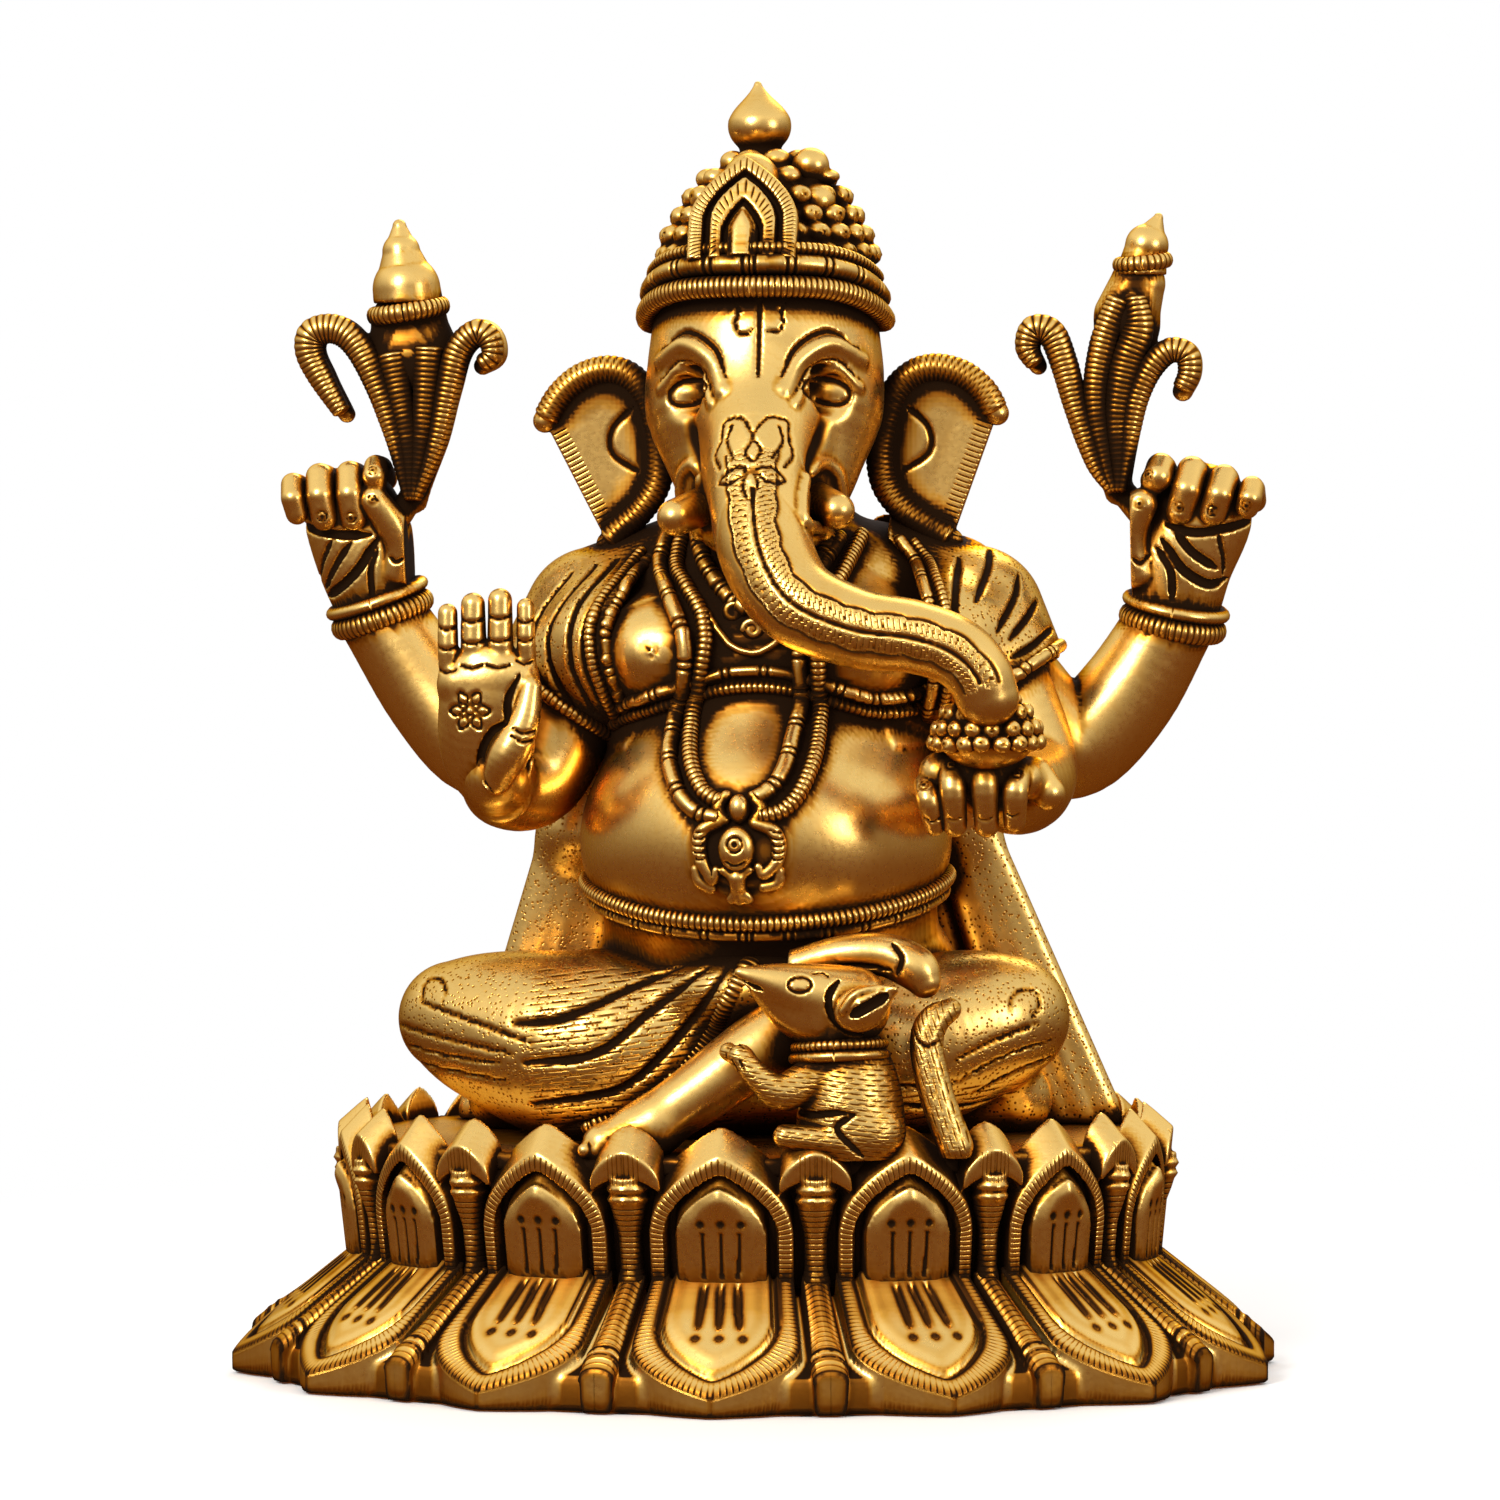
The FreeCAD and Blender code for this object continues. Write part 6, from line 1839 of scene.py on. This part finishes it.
def mouse():
    """Body, head, ear, collar and tail."""
    body = Clay((-4, -70, 53), (48, -32, 90), 0.45)
    body.rod(curve([(27, -50, 80, 9.0), (28.5, -50.5, 72, 11.5), (29, -51, 63, 12.5), (29, -50, 57, 12)], 6))
    foreleg = [(22, -56, 75.5, 4.6), (14.5, -60, 71.5, 4.3), (9.5, -61.5, 74.5, 3.2), (4.6, -61, 80.0, 2.7)]
    body.rod(curve(foreleg, 6), blend=1.2)
    body.rod([(5.2, -60, 79.5, 2.6), (1.8, -58.5, 80.6, 2.2)], blend=1)
    body.ball((33, -55, 62), (9, 8.5, 8), blend=1.0)
    body.rod([(30, -60, 60, 3.6), (15, -61.5, 61.6, 2.8)], blend=0.9)
    body.engrave([(14, 67.4), (20, 66.4), (27, 67.2), (31, 66.8)], 1.7, 1.2)
    body.engrave([(31, 66.8), (27, 63.8), (30.5, 59.5), (33, 57)], 1.5, 1.0)
    for shift in (-0.2, 1.3, 2.8):
        toe = [(1.9 + shift, 78.6 + 0.3 * shift), (3.2 + shift, 75.6 + 0.5 * shift)]
        body.engrave(toe, 0.6, 0.5, smooth=4)
    body.engrave([(1.4, 79.5), (3.6, 82.6), (6.8, 81.4)], 0.7, 0.6)
    body.trim_below(DECK_TOP)
    fur_piece(add_clay("mouse_body", body, "fur"), body, (1, 0.0), (0.12, 1), 1.15, 3.2)

    face = Clay((0, -72, 78), (46, -36, 106), 0.42)
    muzzle = [
        (29, -51, 90.5, 9.2), (22, -54, 92.6, 7.8), (14, -57.5, 95.6, 5.2), (7.5, -60.5, 98, 2.5),
        (4.9, -61.6, 99.0, 1.3)]
    face.rod(curve(muzzle, 8))
    face.rod(curve([(24, -53, 87.6, 8.0), (16, -56, 89.6, 5.0), (9.4, -59, 94.2, 2.2)], 6), blend=1.5)
    face.engrave([(4.4, 97.4), (7.2, 96.2), (10.4, 94.8)], 1.5, 1.2)
    face.engrave_oval((18.6, 96.2), (2.6, 1.7), 24, 0.8, 0.6)
    face.engrave([(21, 98.4), (23.4, 98.8), (25.4, 97.4)], 0.6, 0.5)
    face.engrave([(27.4, 97.2), (25.2, 93.8), (25.8, 89.2), (29.4, 85.4), (33, 84.4)], 1.7, 1.3)
    add_clay("mouse_head", face)

    ear_clay = Clay((22, -74, 80), (46, -50, 102), 0.4)
    tilt = turned(0, -22, 0)
    ear_clay.ball((32.6, -61.5, 90.8), (6.4, 3.0, 5.2), tilt)
    ear_clay.rod([(33.5, -61.5, 91.4, 3.6), (40.2, -62, 94.8, 0.9)], blend=2.2)
    ear_clay.engrave([(30.4, 89.4), (34.4, 91.6), (39.0, 94.2)], 2.6, 1.9)
    ear_clay.emboss([(28.6, 90.4), (31.4, 94.2), (36.4, 95.6), (40.2, 95.2)], 0.8, blend=0.6)
    add_clay("mouse_ear", ear_clay)

    neck = np.array((26.4, -50.5, 80.4))
    parts = [
        band(
            ring_path(neck + (0, 0, lift), (radius, radius), -6, -3), away_from(neck), 2.6, 2.8, pattern,
            closed=True)
        for lift, radius, pattern in ((0.9, 9.9, ribbed), (-1.6, 10.4, plain))]
    add_bands("mouse_collar", parts)

    tail = Clay((38, -62, 53), (62, -36, 94), 0.45)
    tail.rod(curve([
        (51.5, -46, 89.4, 2.6), (47.6, -48.5, 86.6, 3.7), (46.4, -50, 81, 3.9), (48.8, -51.5, 70, 4.0),
        (53.2, -53, 58.5, 4.1)], 8))
    tail.engrave([(44.0, 83.4), (46.6, 81.6), (49.4, 82.6)], 0.8, 0.6)
    tail.trim_below(DECK_TOP)
    fur_piece(add_clay("mouse_tail", tail, "fur"), tail, (0.25, 1), (1, 0.3), 1.3, 4.0)


def sash():
    """Rounded end of the sash between the belly and the mouse."""
    clay = Clay((14, -58, 86), (56, -26, 112), 0.5)
    clay.rod(curve([
        (16, -42, 99, 4.0), (26, -43, 101.4, 4.6), (36, -43, 101.6, 5.0), (43, -44, 98.8, 5.2),
        (45.5, -45, 95.6, 3.8)], 8))
    clay.engrave([(20, 98.6), (30, 99.4), (39, 98.2)], 1.2, 0.9)
    clay.engrave([(38, 104.8), (40.6, 101.4), (39.4, 97.4)], 1.3, 1.0)
    add_clay("sash_end", clay)


# ---------------------------------------------------------------- assembly

lotus_cup()
lotus_skirt()
deck()
body_clay = make_torso()
torso(body_clay)
belts(body_clay)
chest_bands(body_clay)
necklaces(body_clay)
pendant(body_clay)
steel()
legs(leg_cloth())
left_shin()
head()
ears()
crown()
arms()
fist("right", RIGHT_FIST)
fist("left", LEFT_FIST)
blessing_hand()
sweet_hand()
sweets()
capes()
drapes()
attributes()
mouse()
sash()
darken_hollows()
studio()
camera()
